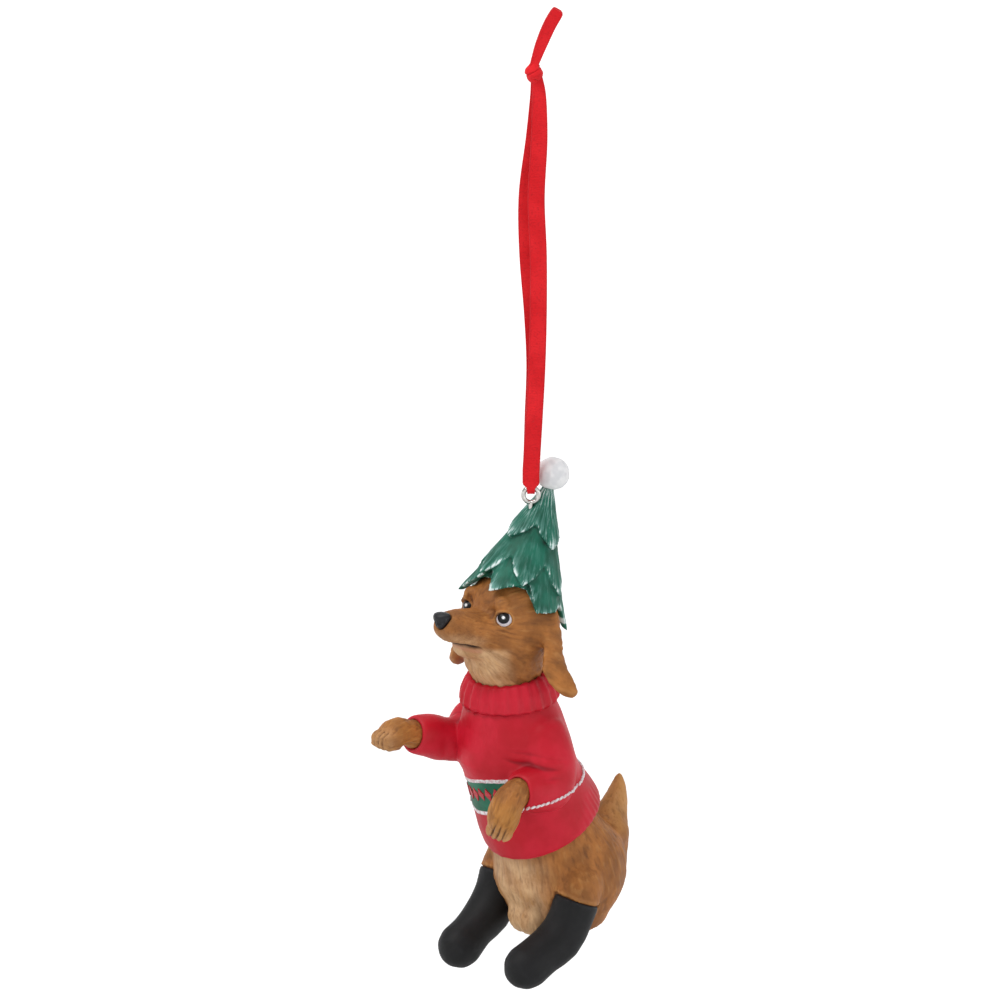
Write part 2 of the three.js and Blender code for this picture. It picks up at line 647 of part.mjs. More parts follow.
function strip(route, thickness) {
  const path = new THREE.CatmullRomCurve3(route.map((stop) => stop.at), false, "catmullrom", 0.5);
  const widths = new THREE.CatmullRomCurve3(route.map((stop) => vec(stop.wide, 0, 0)));
  const count = 2 * (route.length - 1);
  const corner = [[1, 0], [0.85, 1], [-0.85, 1], [-1, 0], [-0.85, -1], [0.85, -1]];
  const rings = Array.from({ length: count + 1 }, (_, index) => {
    const t = index / count;
    const wide = widths.getPoint(t).x;
    const along = path.getTangent(t);
    const side = across.clone().addScaledVector(along, -across.dot(along)).normalize();
    const lift = along.clone().cross(side);
    return corner.map(([broad, through]) =>
      path
        .getPoint(t)
        .addScaledVector(side, (broad * wide) / 2)
        .addScaledVector(lift, (through * thickness) / 2),
    );
  });
  return skin(rings, path.getPoint(0), path.getPoint(1));
}

// Where the strands run at a height above the eye: half the gap between them, half their sideways spread,
// and the sway that both share.
const STRAND_TOP = LOOP_DROP - 0.4;
const BIGHT_RADIUS = BIGHT_INNER_RADIUS + RIBBON_THICKNESS / 2;
const STRAND_STOPS = [
  { height: BIGHT_HEIGHT + CLEARANCE, gap: BIGHT_RADIUS, spread: 0, sway: 0, wide: RIBBON_WIDTH },
  { height: 7, gap: 0.9, spread: 0, sway: 0.2, wide: RIBBON_WIDTH },
  { height: 14, gap: 0.8, spread: 0.1, sway: 0.5, wide: RIBBON_WIDTH },
  { height: 24, gap: 0.8, spread: 0.2, sway: 0.9, wide: RIBBON_WIDTH },
  { height: 34, gap: 0.9, spread: 0.55, sway: 0.8, wide: RIBBON_WIDTH },
  { height: 46, gap: 1.0, spread: 1.0, sway: 0.35, wide: RIBBON_WIDTH },
  { height: 57, gap: 1.0, spread: 0.85, sway: 0.1, wide: RIBBON_WIDTH },
  { height: 68, gap: 0.8, spread: 0.5, sway: 0.4, wide: RIBBON_WIDTH },
  { height: STRAND_TOP, gap: 0.5, spread: 0.1, sway: 0.3, wide: 0.7 * RIBBON_WIDTH },
];

function strandSolid(way) {
  const route = STRAND_STOPS.map(({ height, gap, spread, sway, wide }) => {
    const at = vec(0, 0, height - LOOP_DROP).addScaledVector(ahead, way * gap);
    return { at: at.addScaledVector(across, way * spread + sway), wide };
  });
  return strip(route, RIBBON_THICKNESS);
}

// The turn of the ribbon under the top of the eye, gathered narrow inside the loop.
function bightSolid() {
  const stop = (out, rise, wide) => ({ at: vec(0, 0, rise - LOOP_DROP).addScaledVector(ahead, out), wide });
  const arc = Array.from({ length: 7 }, (_, index) => {
    const angle = (Math.PI * index) / 6;
    const wide = BIGHT_WIDTH * (1 + 0.35 * Math.abs(Math.cos(angle)));
    return stop(BIGHT_RADIUS * Math.cos(angle), -BIGHT_RADIUS * Math.sin(angle), wide);
  });
  const rise = (out) => [
    stop(out, BIGHT_HEIGHT, RIBBON_WIDTH),
    stop(out, 0.5 * BIGHT_HEIGHT, 0.9 * RIBBON_WIDTH),
  ];
  return strip([...rise(BIGHT_RADIUS), ...arc, ...rise(-BIGHT_RADIUS).reverse()], RIBBON_THICKNESS);
}

// Overhand knot: a core with the band that wraps it at a slant.
const knotMiddle = vec(0, 0, KNOT_HEIGHT / 2);

function knotSolid() {
  const core = ellipsoid(knotMiddle, 0.4 * KNOT_WIDTH, 0.36 * KNOT_WIDTH, KNOT_HEIGHT / 2);
  const band = new THREE.TorusGeometry(0.34 * KNOT_WIDTH, 0.16 * KNOT_WIDTH, 8, 18);
  band.scale(1, 0.85, 1.5).rotateY(radians(24)).rotateZ(radians(RIBBON_TURN));
  band.translate(knotMiddle.x, knotMiddle.y, knotMiddle.z);
  return join(core, solidOf(band));
}

// The two cut ends stand up from the knot and lean together towards one side.
function endSolid(way) {
  const apart = (END_GAP + RIBBON_THICKNESS) / 2;
  const foot = vec(0, 0, KNOT_HEIGHT + CLEARANCE).addScaledVector(ahead, way * apart);
  const stop = (lean, rise, wide) => ({
    at: foot.clone().add(vec(0, 0, rise)).addScaledVector(across, lean),
    wide,
  });
  const route = [
    stop(0.04 * END_LENGTH, 0, 0.76 * END_WIDTH),
    stop(0.12 * END_LENGTH, 0.32 * END_LENGTH, END_WIDTH),
    stop(0.32 * END_LENGTH, 0.68 * END_LENGTH, END_WIDTH),
    stop(0.5 * END_LENGTH, END_LENGTH, END_WIDTH),
  ];
  return strip(route, RIBBON_THICKNESS);
}

const ornament = new THREE.Group();
const dog = new THREE.Group();
dog.position.set(-eyeTop.x, -eyeTop.y, -LOOP_DROP - eyeTop.z);
ornament.add(dog);

function add(group, name, solid, finish) {
  const mesh = new THREE.Mesh(geometryOf(solid), finish);
  mesh.name = name;
  group.add(mesh);
}

const SIDES = [{ side: 1, label: "left" }, { side: -1, label: "right" }];
const pair = (make) => SIDES.map(({ side }) => make(side));

add(ornament, "ribbon_front_strand", strandSolid(1), FINISH.ribbon);
add(ornament, "ribbon_back_strand", strandSolid(-1), FINISH.ribbon);
add(ornament, "ribbon_bight", bightSolid(), FINISH.ribbon);
add(ornament, "ribbon_knot", knotSolid(), FINISH.ribbon);
add(ornament, "ribbon_end_front", endSolid(1), FINISH.ribbon);
add(ornament, "ribbon_end_back", endSolid(-1), FINISH.ribbon);

const grownHead = headSolid(CLEARANCE);
const grownHat = hatSolid(CLEARANCE);
const grownTorso = torsoSolid(CLEARANCE);
const grownHips = hipsSolid(CLEARANCE);

add(dog, "eye_pin", eyePinSolid(), FINISH.nickel);
add(dog, "tree_hat", mainBody(cut(hatSolid(), grownHead, shankSolid(CLEARANCE))), FINISH.fir);
add(dog, "hat_pompom", mainBody(cut(pompomSolid(), grownHat)), FINISH.snow);

const sockets = [
  noseSolid(CLEARANCE),
  ...pair((side) => eyeballSolid(side, CLEARANCE)),
  ...pair((side) => earPeg(side, CLEARANCE)),
];
add(dog, "head", mainBody(cut(headSolid(), ...sockets)), FINISH.fur);
add(dog, "nose", noseSolid(), FINISH.black);

const torso = cut(torsoSolid(), grownHead, grownHips, ...pair((side) => shoulderPeg(side, CLEARANCE)));
add(dog, "sweater_body", mainBody(torso), FINISH.sweater);
add(dog, "sweater_collar", mainBody(cut(collarSolid(), grownHead, grownTorso)), FINISH.sweater);

const rump = join(hipsSolid(), ...pair(thighSolid));
const hips = cut(rump, tailSolid(CLEARANCE), ...pair((side) => bootSolid(side, CLEARANCE)));
add(dog, "hips", join(mainBody(hips), ...pair((side) => legPlug(side))), FINISH.fur);
add(dog, "tail", mainBody(cut(tailSolid(), grownTorso)), FINISH.fur);

for (const { side, label } of SIDES) {
  const ear = cut(earSolid(side), grownHead, grownHat);
  add(dog, `${label}_ear`, join(mainBody(ear), earPeg(side)), FINISH.fur);
  add(dog, `${label}_eye`, eyeballSolid(side), FINISH.eye);
  const sleeve = mainBody(cut(sleeveSolid(side), grownTorso, collarSolid(CLEARANCE)));
  const pegged = cut(join(sleeve, shoulderPeg(side)), forepawSolid(side, CLEARANCE));
  add(dog, `${label}_sleeve`, pegged, FINISH.sweater);
  add(dog, `${label}_forepaw`, forepawSolid(side), FINISH.fur);
  add(dog, `${label}_boot`, mainBody(cut(bootSolid(side), legPlug(side, CLEARANCE))), FINISH.black);
}

export default ornament;
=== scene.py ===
"""Looks of a hanging ornament: a painted cast dog in a tree hat, sweater and boots, on a ribbon loop.

Metres, +Z up. The dog faces -Y and its left side is +X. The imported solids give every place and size: each
casting is a copy of its solids, eased into one smooth form, carved and painted, and it rides with its body.
"""

import math

import bmesh
import bpy
import numpy as np
from mathutils import Matrix, Vector
from mathutils.bvhtree import BVHTree


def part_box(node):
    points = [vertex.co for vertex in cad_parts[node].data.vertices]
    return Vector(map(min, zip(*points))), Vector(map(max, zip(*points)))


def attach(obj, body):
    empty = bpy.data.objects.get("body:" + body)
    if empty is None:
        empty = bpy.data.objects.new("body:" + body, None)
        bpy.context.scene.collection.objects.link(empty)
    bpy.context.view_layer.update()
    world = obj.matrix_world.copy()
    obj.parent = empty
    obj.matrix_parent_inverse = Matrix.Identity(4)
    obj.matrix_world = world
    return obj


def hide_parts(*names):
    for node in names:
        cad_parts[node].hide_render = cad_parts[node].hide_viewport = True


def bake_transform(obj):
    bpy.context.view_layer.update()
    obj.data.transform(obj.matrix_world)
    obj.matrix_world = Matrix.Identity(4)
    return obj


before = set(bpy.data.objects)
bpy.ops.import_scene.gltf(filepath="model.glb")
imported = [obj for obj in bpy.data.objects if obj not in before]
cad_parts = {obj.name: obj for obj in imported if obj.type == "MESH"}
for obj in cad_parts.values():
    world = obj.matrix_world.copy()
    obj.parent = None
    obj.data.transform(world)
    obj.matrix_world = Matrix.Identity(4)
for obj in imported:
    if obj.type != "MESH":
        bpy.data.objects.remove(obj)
scene = bpy.context.scene
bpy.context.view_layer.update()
MM = 0.001


def mm(*values):
    """A point given in millimetres."""
    return Vector(values) * MM


# Photograph: where the camera stands, and the picture point where the top of the metal eye shows.
VIEW_AZIMUTH = 50.0
VIEW_ELEVATION = 17.5
PICTURE_POINTS = 1000
PICTURE_POINT = 0.188 * MM
EYE_TOP = mm(0, 0, -79)
EYE_TOP_SHOWN = (531.0, 487.5)
LENS = 600.0
SENSOR = 36.0

# Studio: how far the floor lies under the picture's middle, and the strength of the white dome.
FLOOR_DROP = 1.25
DOME_STRENGTH = 0.53

# Ribbon, in millimetres, apart from its turn in degrees. A strand's
# stops, measured up from the eye, are height, half the gap between the strands, half their sideways spread,
# the sway that both share, and width.
RIBBON_THICKNESS = 0.45
RIBBON_TURN = 50.0
KNOT_SHIFT = 0.5
STRAND_STOPS = [
    (3.1, 1.025, 0.0, 0.0, 3.2),
    (7, 0.9, 0.0, 0.2, 3.2),
    (14, 0.8, 0.1, 0.5, 3.2),
    (24, 0.8, 0.2, 0.9, 3.2),
    (34, 0.9, 0.55, 0.8, 3.2),
    (46, 1.0, 1.0, 0.35, 3.2),
    (57, 1.0, 0.85, 0.1, 3.2),
    (68, 0.8, 0.5, 1.0, 3.1),
    (76, 0.6, 0.2, 1.3, 2.7),
    (79.5, 0.4, 0.1, 1.1, 2.2),
    (80.6, 0.35, 0.0, 0.9, 1.9),
]

# The ribbon's turn through the eye: heights and widths where it narrows, and how much the turn flares.
BIGHT_RADIUS = 1.025
BIGHT_WIDTH = 1.3
BIGHT_FLARE = 0.2
BIGHT_RISES = [(2.6, 3.2), (2.0, 3.2), (1.3, 3.2), (0.85, 2.95), (0.45, 2.05)]

# The two cut ends above the knot: lean to one side, rise and width.
END_FOOT = 4.5
END_GAP = 0.5
END_STOPS = [
    (0.3, -1.6, 1.4),
    (0.8, 0, 1.7),
    (1.9, 3.2, 2.2),
    (3.4, 6.8, 2.4),
    (4.8, 9.3, 2.3),
    (5.1, 9.8, 1.3),
]

# Metal eye, in millimetres. Its wire curls from the first angle, in degrees, to the second.
WIRE_RADIUS = 0.45
WIRE_SIDES = 16
RING_RADIUS = 1.45
RING_SWEEP = (-86, 262)

# Figure: points and directions that several castings share.
SKULL = mm(0, -4.77, -102.5)
HAT_BRIM = mm(0, -4.17, -99.8)
HAT_AXIS = Vector((0, math.sin(math.radians(22.6)), math.cos(math.radians(22.6))))
COLLAR_BASE = mm(0, -5.27, -119.6)
TORSO_AXIS = Vector((0, math.sin(math.radians(18)), -math.cos(math.radians(18))))
TORSO_BACK = Vector((0, -TORSO_AXIS.z, TORSO_AXIS.y))
TORSO_LENGTH = 26.6 * MM
TORSO_BOW = 1.9 * MM
INNER_ELBOW = mm(11.6, -9.0, -129.4)

# Sweater. Its lines are listed as degrees from its front towards its left, and shares of the trunk's
# length. The chest's swells, the armhole's place and the sizes of beads and diamonds are millimetres.
ROPE_TURNS = [-180, -100, -45, -18, 0, 20, 45, 66, 85, 106, 128, 180]
ROPE_STATIONS = [0.7, 0.72, 0.745, 0.74, 0.71, 0.68, 0.665, 0.67, 0.682, 0.692, 0.698, 0.7]
CHEST_STATIONS = [0.05, 0.2, 0.32, 0.42, 0.56, 0.75]
CHEST_SWELLS = [0.0, 0.7, 0.7, 0.0, -0.35, 0.0]
PANEL_TOP_TURNS = [-45, -16, 4, 19, 45]
PANEL_TOP_STATIONS = [0.52, 0.467, 0.425, 0.408, 0.404]
PANEL_REACH = math.radians(42)
PANEL_BAND = 0.015
PANEL_EDGE = 0.004
ARMHOLE_FRONT = -9.8
NEAR_SLEEVE = (math.radians(44), math.radians(112))
COLLAR_RIBS = 24
HEM_RIBS = 54
ROPE_PLACES = 58
ROPE_STEP = 1.1 * MM
ROPE_LEAN = math.radians(24)
ROPE_BEAD = (1.15, 0.55, 0.5)
DIAMONDS = 7
DIAMOND = (1.7, 2.8, 0.24)

# Head. The mouth line runs back and up from the middle of the skull, from the lip to the corner. The eyes'
# values differ because the photograph shows one from the side and one past the muzzle.
MOUTH_BACK = [-16.4, -15.0, -13.1, -11.7, -9.5]
MOUTH_RISE = [-2.9, -3.15, -3.5, -3.9, -4.3]
EYE_SHIFT = {"left": mm(0, 0.45, -0.25), "right": mm(0.45, 0.3, -0.25)}
EYE_BULGE = {"left": 0.5 * MM, "right": 0.2 * MM}
EYE_FACING = {"left": Vector((0, 0, 0)), "right": Vector((0.4, -0.1, 0.05))}
EYE_GLANCE = {"left": Vector((0, 0.12, 0.2)), "right": Vector((0.3, 0.05, 0.15))}
EYE_HOLLOW = {"left": 0.6, "right": 1.0}
BROW_RIDGE = {"left": 1.0, "right": 0.35}
LID_OPENING = 1.5
LID_FLATTENING = 1.1

# Places and radii, in millimetres, where the castings are fuller than their solids.
HAT_TIP_FILL = [((0, 0.4, -84.2), 1.25)]
BROW_FILLS = [((side * 4.2, -10.7, -98.9), 1.6) for side in (-1, 1)]
HIP_FILLS = [((0, 17.8, -156.8), 4.6), ((0, 18.9, -153.2), 4.1), ((0, 19.6, -149.3), 3.3)]
HIP_FILLS += [((side * 1.5, 18.2, -151.0), 3.7) for side in (-1, 1)]
HIP_FILLS += [((side * 1.6, 0.2, -164.2), 3.4) for side in (-1, 0, 1)]

# How far the right boot's toe hangs below its solid.
TOE_DROP = mm(0, 0, 0.9)


# Objects and faces.
def new_object(name, data):
    made = bpy.data.objects.new(name, data)
    scene.collection.objects.link(made)
    return made


def ring_faces(rings, around, first=0):
    """Quads between rings of places, numbered from first."""
    faces = []
    for start in range(first, first + (rings - 1) * around, around):
        for spot in range(around):
            here, beside = start + spot, start + (spot + 1) % around
            faces.append((here, here + around, beside + around, beside))
    return faces


# Camera and studio.
def set_camera():
    azimuth, elevation = math.radians(VIEW_AZIMUTH), math.radians(VIEW_ELEVATION)
    right = Vector((math.cos(azimuth), math.sin(azimuth), 0))
    back = Vector((right.y * math.cos(elevation), -right.x * math.cos(elevation), math.sin(elevation)))
    up = back.cross(right)
    middle = PICTURE_POINTS / 2
    aim = EYE_TOP + right * (middle - EYE_TOP_SHOWN[0]) * PICTURE_POINT
    aim += up * (EYE_TOP_SHOWN[1] - middle) * PICTURE_POINT
    camera = new_object("camera", bpy.data.cameras.new("camera"))
    camera.data.lens = LENS
    camera.data.sensor_width = SENSOR
    camera.location = aim + back * PICTURE_POINTS * PICTURE_POINT * LENS / SENSOR
    camera.rotation_mode = "QUATERNION"
    camera.rotation_quaternion = (-back).to_track_quat("-Z", "Y")
    camera.data.clip_start = 0.01
    scene.camera = camera
    return aim, right, back, up


def add_light(name, aim, place, size, power):
    light = new_object(name, bpy.data.lights.new(name, "AREA"))
    light.data.size = size
    light.data.energy = power
    light.location = place
    light.rotation_mode = "QUATERNION"
    light.rotation_quaternion = (aim - place).to_track_quat("-Z", "Y")


def swept_floor(height):
    """A round floor that sweeps up into a low wall, so that a low view shows no horizon."""
    reach, sweep, wall, parts = 4.3, 1.1, 1.0, 48
    rows = [(0.5, 0), (2.4, 0)]
    for step in range(7):
        turn = math.radians(15 * step)
        rows.append((reach + sweep * math.sin(turn), sweep * (1 - math.cos(turn))))
    rows.append((reach + sweep, sweep + wall))
    places = [(0, 0, height)]
    for radius, rise in rows:
        for part in range(parts):
            turn = 2 * math.pi * part / parts
            places.append((radius * math.cos(turn), radius * math.sin(turn), height + rise))
    faces = [(0, 1 + part, 1 + (part + 1) % parts) for part in range(parts)]
    faces += ring_faces(len(rows), parts, first=1)
    mesh = bpy.data.meshes.new("floor")
    mesh.from_pydata(places, [], faces)
    mesh.shade_smooth()
    return mesh


def set_studio(aim, right, back, up):
    floor = new_object("floor", swept_floor(aim.z - FLOOR_DROP))
    floor.data.materials.append(floor_paint())
    add_light("key", aim, aim + back * 0.5 - right * 0.5 + up * 0.65, size=0.5, power=4.2)
    add_light("fill", aim, aim + back * 0.6 + right * 0.7 + up * 0.1, size=0.8, power=1.3)
    add_light("top", aim, aim - back * 0.15 + Vector((0, 0, 0.8)), size=0.6, power=2.0)
    world = bpy.data.worlds.new("studio")
    scene.world = world
    world.use_nodes = True
    dome = world.node_tree.nodes["Background"]
    dome.inputs["Color"].default_value = (1, 1, 1, 1)
    dome.inputs["Strength"].default_value = DOME_STRENGTH
    scene.view_settings.view_transform = "Standard"


# Node trees, written as Python.
class Value:
    """A socket that takes part in Python arithmetic. Each operation adds a Math node."""

    def __init__(self, tree, socket):
        self.tree = tree
        self.socket = socket

    def math(self, operation, *others, clamp=False):
        inputs = dict(enumerate((self, *others)))
        return self.tree.add("ShaderNodeMath", {"operation": operation, "use_clamp": clamp}, inputs)

    def __add__(self, other):
        return self.math("ADD", other)

    def __mul__(self, other):
        return self.math("MULTIPLY", other)

    def __sub__(self, other):
        return self.math("SUBTRACT", other)

    def __rsub__(self, other):
        return (self * -1) + other

    __radd__ = __add__

    def clamped(self):
        return self.math("ADD", 0.0, clamp=True)

    def between(self, low, high):
        """0 below low, 1 above high, with a smooth rise."""
        inputs = {"Value": self, "From Min": low, "From Max": high}
        return self.tree.add("ShaderNodeMapRange", {"interpolation_type": "SMOOTHSTEP"}, inputs)


class Tree:
    """A node tree that grows by calls: one call adds a node, sets it and fills or links its sockets."""

    def __init__(self, tree):
        self.tree = tree

    def add(self, kind, settings=None, inputs=None, output=0):
        node = self.tree.nodes.new(kind)
        for key, value in (settings or {}).items():
            setattr(node, key, value)
        for key, value in (inputs or {}).items():
            self.link(value, node.inputs[key])
        return Value(self, node.outputs[output])

    def link(self, value, socket):
        if isinstance(value, Value):
            self.tree.links.new(value.socket, socket)
        else:
            socket.default_value = value


def colour(red, green, blue):
    """A paint given as 0 to 255 screen values."""
    shares = (red / 255, green / 255, blue / 255)
    linear = [v / 12.92 if v <= 0.04045 else ((v + 0.055) / 1.055) ** 2.4 for v in shares]
    return (*linear, 1.0)


class Finish(Tree):
    """A material round one Principled shader, whose own sockets hold the numbers that don't vary."""

    def __init__(self, name, **constants):
        self.material = bpy.data.materials.new(name)
        self.material.use_nodes = True
        super().__init__(self.material.node_tree)
        self.place = self.add("ShaderNodeTexCoord", output="Object")
        self.paint(**constants)

    def paint(self, **sockets):
        """Fills or links sockets of the shader, named in small letters, and gives the material."""
        shader = self.tree.nodes["Principled BSDF"]
        for key, value in sockets.items():
            label = key.replace("_", " ").title().replace("Ior", "IOR")
            self.link(value, shader.inputs[label])
        return self.material

    def mark(self, name, output="Fac"):
        return self.add("ShaderNodeAttribute", {"attribute_name": name}, output=output)

    def mottle(self, scale, detail=2.0, roughness=0.5, where=None):
        inputs = {"Vector": where or self.place, "Scale": scale, "Detail": detail, "Roughness": roughness}
        return self.add("ShaderNodeTexNoise", inputs=inputs)

    def mix(self, share, *paints):
        """Two paints in shares. A paint is a socket, or red, green and blue as 0 to 255 screen values."""
        first, second = [paint if isinstance(paint, Value) else colour(*paint) for paint in paints]
        return self.add("ShaderNodeMix", {"data_type": "RGBA"}, {0: share, 6: first, 7: second}, output=2)

    def bump(self, height, depth_mm):
        return self.add("ShaderNodeBump", inputs={"Height": height, "Distance": depth_mm * MM})

    def textured(self, base, texture, roughness, spread, depth_mm):
        """The material, with one texture in its roughness and its height."""
        return self.paint(
            base_color=base,
            roughness=roughness + (texture - 0.5) * spread,
            normal=self.bump(texture, depth_mm),
        )


# Finishes.
def floor_paint():
    """Pale floor, lit up towards its far parts like a studio backdrop."""
    coat = Finish("floor_paint", roughness=0.9, emission_strength=0.42)
    speck = coat.mottle(40.0)
    far = coat.add("ShaderNodeVectorMath", {"operation": "LENGTH"}, {0: coat.place}, output="Value")
    return coat.paint(
        base_color=coat.mix(speck, (250, 250, 250), (254, 254, 254)),
        emission_color=coat.mix(far.between(1.6, 3.0), (0, 0, 0), (255, 255, 255)),
    )


def fur_paint():
    """Brown resin fur: dark-washed strokes, painted shade in hollows, a warm painted highlight on the ridges,
    cream where it is marked.
    """
    coat = Finish("fur_paint", specular_ior_level=0.25)
    stroke, relief, cream = coat.mark("stroke"), coat.mark("relief"), coat.mark("cream")
    patch = coat.mottle(240.0, 4.0, 0.6).between(0.34, 0.66)
    cloud = coat.mottle(110.0, 2.0).between(0.42, 0.7)
    fine = coat.mottle(1.7, 3.0, 0.6, coat.mark("flow", "Vector"))
    brown = coat.mix(patch, (138, 86, 40), (170, 108, 52))
    gold = coat.mix(coat.mark("gold"), brown, (190, 130, 62))
    aged = coat.mix(cloud * 0.4, gold, (116, 72, 36))
    pale = coat.mix(patch, (178, 134, 92), (208, 170, 128))
    base = coat.mix((cream + (fine - 0.5) * 1.1 * cream).clamped(), aged, pale)
    # Painted highlight: warm light on raised places and on the tops of the strokes.
    ridge = (relief.between(0.1, 0.9) * 0.25 + stroke.between(0.2, 0.9) * 0.24).clamped()
    lit = coat.mix(ridge, base, (196, 144, 84))
    # Dark paint washed into the carved strokes, and painted shade in the hollows of the casting.
    sunk = stroke.between(0.0, -0.8) * 0.34 + relief.between(-0.1, -0.9) * 0.55
    wash_and_shade = (sunk + fine.between(0.48, 0.28) * 0.25).clamped()
    skin = coat.mix(wash_and_shade * (1 - cream * 0.4), lit, (78, 44, 22))
    lips = coat.mix(coat.mark("lip"), skin, (184, 116, 96))
    lines = coat.mix(coat.mark("ink"), lips, (42, 22, 16))
    lids = coat.mix(coat.mark("lid"), lines, (60, 44, 40))
    return coat.textured(lids, fine, roughness=0.58, spread=0.3, depth_mm=0.06)


def sweater_paint():
    """Red paint over the cast knit: painted shade deep in its folds, a painted highlight on its ridges, and
    the trimmed panel.
    """
    coat = Finish("sweater_paint", specular_ior_level=0.25)
    relief = coat.mark("relief")
    patch = coat.mottle(150.0, 3.0)
    fine = coat.mottle(1500.0, 3.0, 0.6)
    red = coat.mix(patch.between(0.35, 0.65), (178, 13, 32), (195, 24, 46))
    # Painted highlight: lighter red on raised places.
    lighter_ridges = coat.mix((relief.between(0.2, 1.0) * 0.3).clamped(), red, (208, 76, 90))
    # Painted shade: deep red in folds, creases and hollows.
    deep = coat.mix((relief.between(-0.1, -0.9) * 0.75).clamped(), lighter_ridges, (112, 2, 18))
    green = coat.mix(patch.between(0.35, 0.65), (16, 88, 64), (28, 110, 82))
    panelled = coat.mix(coat.mark("panel").between(0.35, 0.65), deep, green)
    white = coat.mix(fine.between(0.6, 0.35), (224, 222, 224), (196, 150, 156))
    banded = coat.mix(coat.mark("band").between(0.35, 0.65), panelled, white)
    return coat.textured(banded, fine, roughness=0.5, spread=0.25, depth_mm=0.03)


def fir_paint():
    """Green boughs with painted shade under the tiers and pale paint dragged over their lower edges."""
    coat = Finish("fir_paint", specular_ior_level=0.3)
    stroke, relief, hem = coat.mark("stroke"), coat.mark("relief"), coat.mark("hem")
    patch = coat.mottle(230.0, 3.0)
    fine = coat.mottle(0.9, 4.0, 0.65, coat.mark("flow", "Vector"))
    green = coat.mix(patch.between(0.35, 0.65), (10, 80, 62), (18, 100, 80))
    # Painted shade under the tiers and in the needle grooves.
    shade = (relief.between(-0.1, -0.9) * 0.85 + stroke.between(-0.2, -0.8) * 0.25).clamped()
    dark = coat.mix(shade, green, (4, 38, 28))
    drag = (hem.between(0.05, 0.6) * 0.8 + stroke.between(0.3, 0.9) * 0.25).clamped()
    mist = coat.mix(drag * fine.between(0.4, 0.62) * 0.7, dark, (120, 172, 164))
    # White over raised places is a painted highlight; the patches along the hems are dry brush paint.
    brushed_and_highlit = (relief.between(0.15, 0.6) + hem.between(0.2, 0.7) * patch.between(0.44, 0.56)).clamped()
    snow = coat.mix(brushed_and_highlit * fine.between(0.5, 0.6) * 0.9, mist, (220, 233, 231))
    return coat.textured(snow, fine, roughness=0.55, spread=0.3, depth_mm=0.05)


def snow_paint():
    coat = Finish("snow_paint", specular_ior_level=0.3)
    lump = coat.mottle(900.0, 4.0, 0.65)
    shade = coat.mix(coat.mark("relief").between(0.4, -0.8), (232, 232, 233), (212, 213, 216))
    white = coat.mix(lump.between(0.6, 0.35) * 0.3, shade, (212, 213, 215))
    return coat.textured(white, lump, roughness=0.75, spread=0.2, depth_mm=0.12)


def boot_paint():
    coat = Finish("boot_paint", specular_ior_level=0.3)
    patch = coat.mottle(120.0, 3.0)
    fine = coat.mottle(1300.0, 3.0, 0.6)
    black = coat.mix(patch.between(0.35, 0.65), (8, 8, 10), (16, 16, 18))
    # Lighter grey on raised places.
    lighter_ridges = coat.mix((coat.mark("relief").between(0.3, 1.0) * 0.35).clamped(), black, (42, 44, 48))
    return coat.paint(
        base_color=lighter_ridges,
        roughness=0.6 + (patch - 0.5) * 0.2 + (fine - 0.5) * 0.1,
        normal=coat.bump(fine, 0.03),
    )


def nose_paint():
    coat = Finish("nose_paint", specular_ior_level=0.35)
    pores = coat.mottle(2600.0, 2.0)
    # Painted shade: deeper black in the nostrils and the groove down the nose.
    black = coat.mix(coat.mark("relief").between(-0.1, -0.8), (16, 16, 19), (5, 5, 7))
    speckled = coat.mix(pores * 0.3, black, (52, 52, 58))
    return coat.textured(speckled, pores, roughness=0.36, spread=0.2, depth_mm=0.05)


def eye_gloss():
    """Painted eye: black pupil with a white dot, white beside and below it, and a brown lid on top."""
    coat = Finish("eye_gloss", specular_ior_level=0.3)
    brush = coat.mottle(2400.0, 2.0)
    gaze = coat.mark("gaze") + (brush - 0.5) * 0.06
    lid = coat.mark("lid") + (brush - 0.5) * 0.05
    white = coat.mix(brush, (196, 190, 198), (222, 216, 218))
    iris = coat.mix(gaze.between(0.81, 0.75), white, (84, 76, 96))
    pupil = coat.mix(gaze.between(0.75, 0.69), iris, (8, 8, 10))
    dot = coat.mix(coat.mark("glint"), pupil, (240, 242, 244))
    lined = coat.mix(lid.between(0.56, 0.64), dot, (34, 24, 22))
    return coat.paint(
        base_color=coat.mix(lid.between(0.76, 0.84), lined, (130, 80, 38)),
        roughness=0.32 + (brush - 0.5) * 0.1 + lid.between(0.6, 0.8) * 0.3,
    )


def line_paint():
    coat = Finish("line_paint", specular_ior_level=0.35)
    brush = coat.mottle(1700.0, 3.0, 0.6)
    white = coat.mix(brush.between(0.58, 0.36) * 0.7, (226, 224, 226), (196, 128, 138))
    return coat.textured(white, brush, roughness=0.5, spread=0.2, depth_mm=0.04)


def motif_paint():
    coat = Finish("motif_paint", specular_ior_level=0.4)
    brush = coat.mottle(1500.0, 3.0, 0.6)
    red = coat.mix(brush.between(0.4, 0.65), (170, 24, 40), (198, 48, 60))
    return coat.textured(red, brush, roughness=0.45, spread=0.2, depth_mm=0.03)


def nickel():
    coat = Finish("nickel", metallic=1.0, specular_ior_level=0.5)
    drawn = coat.mottle(1600.0, 3.0, 0.6)
    metal = coat.mix(drawn, (176, 174, 170), (214, 212, 208))
    return coat.textured(metal, drawn, roughness=0.2, spread=0.18, depth_mm=0.01)


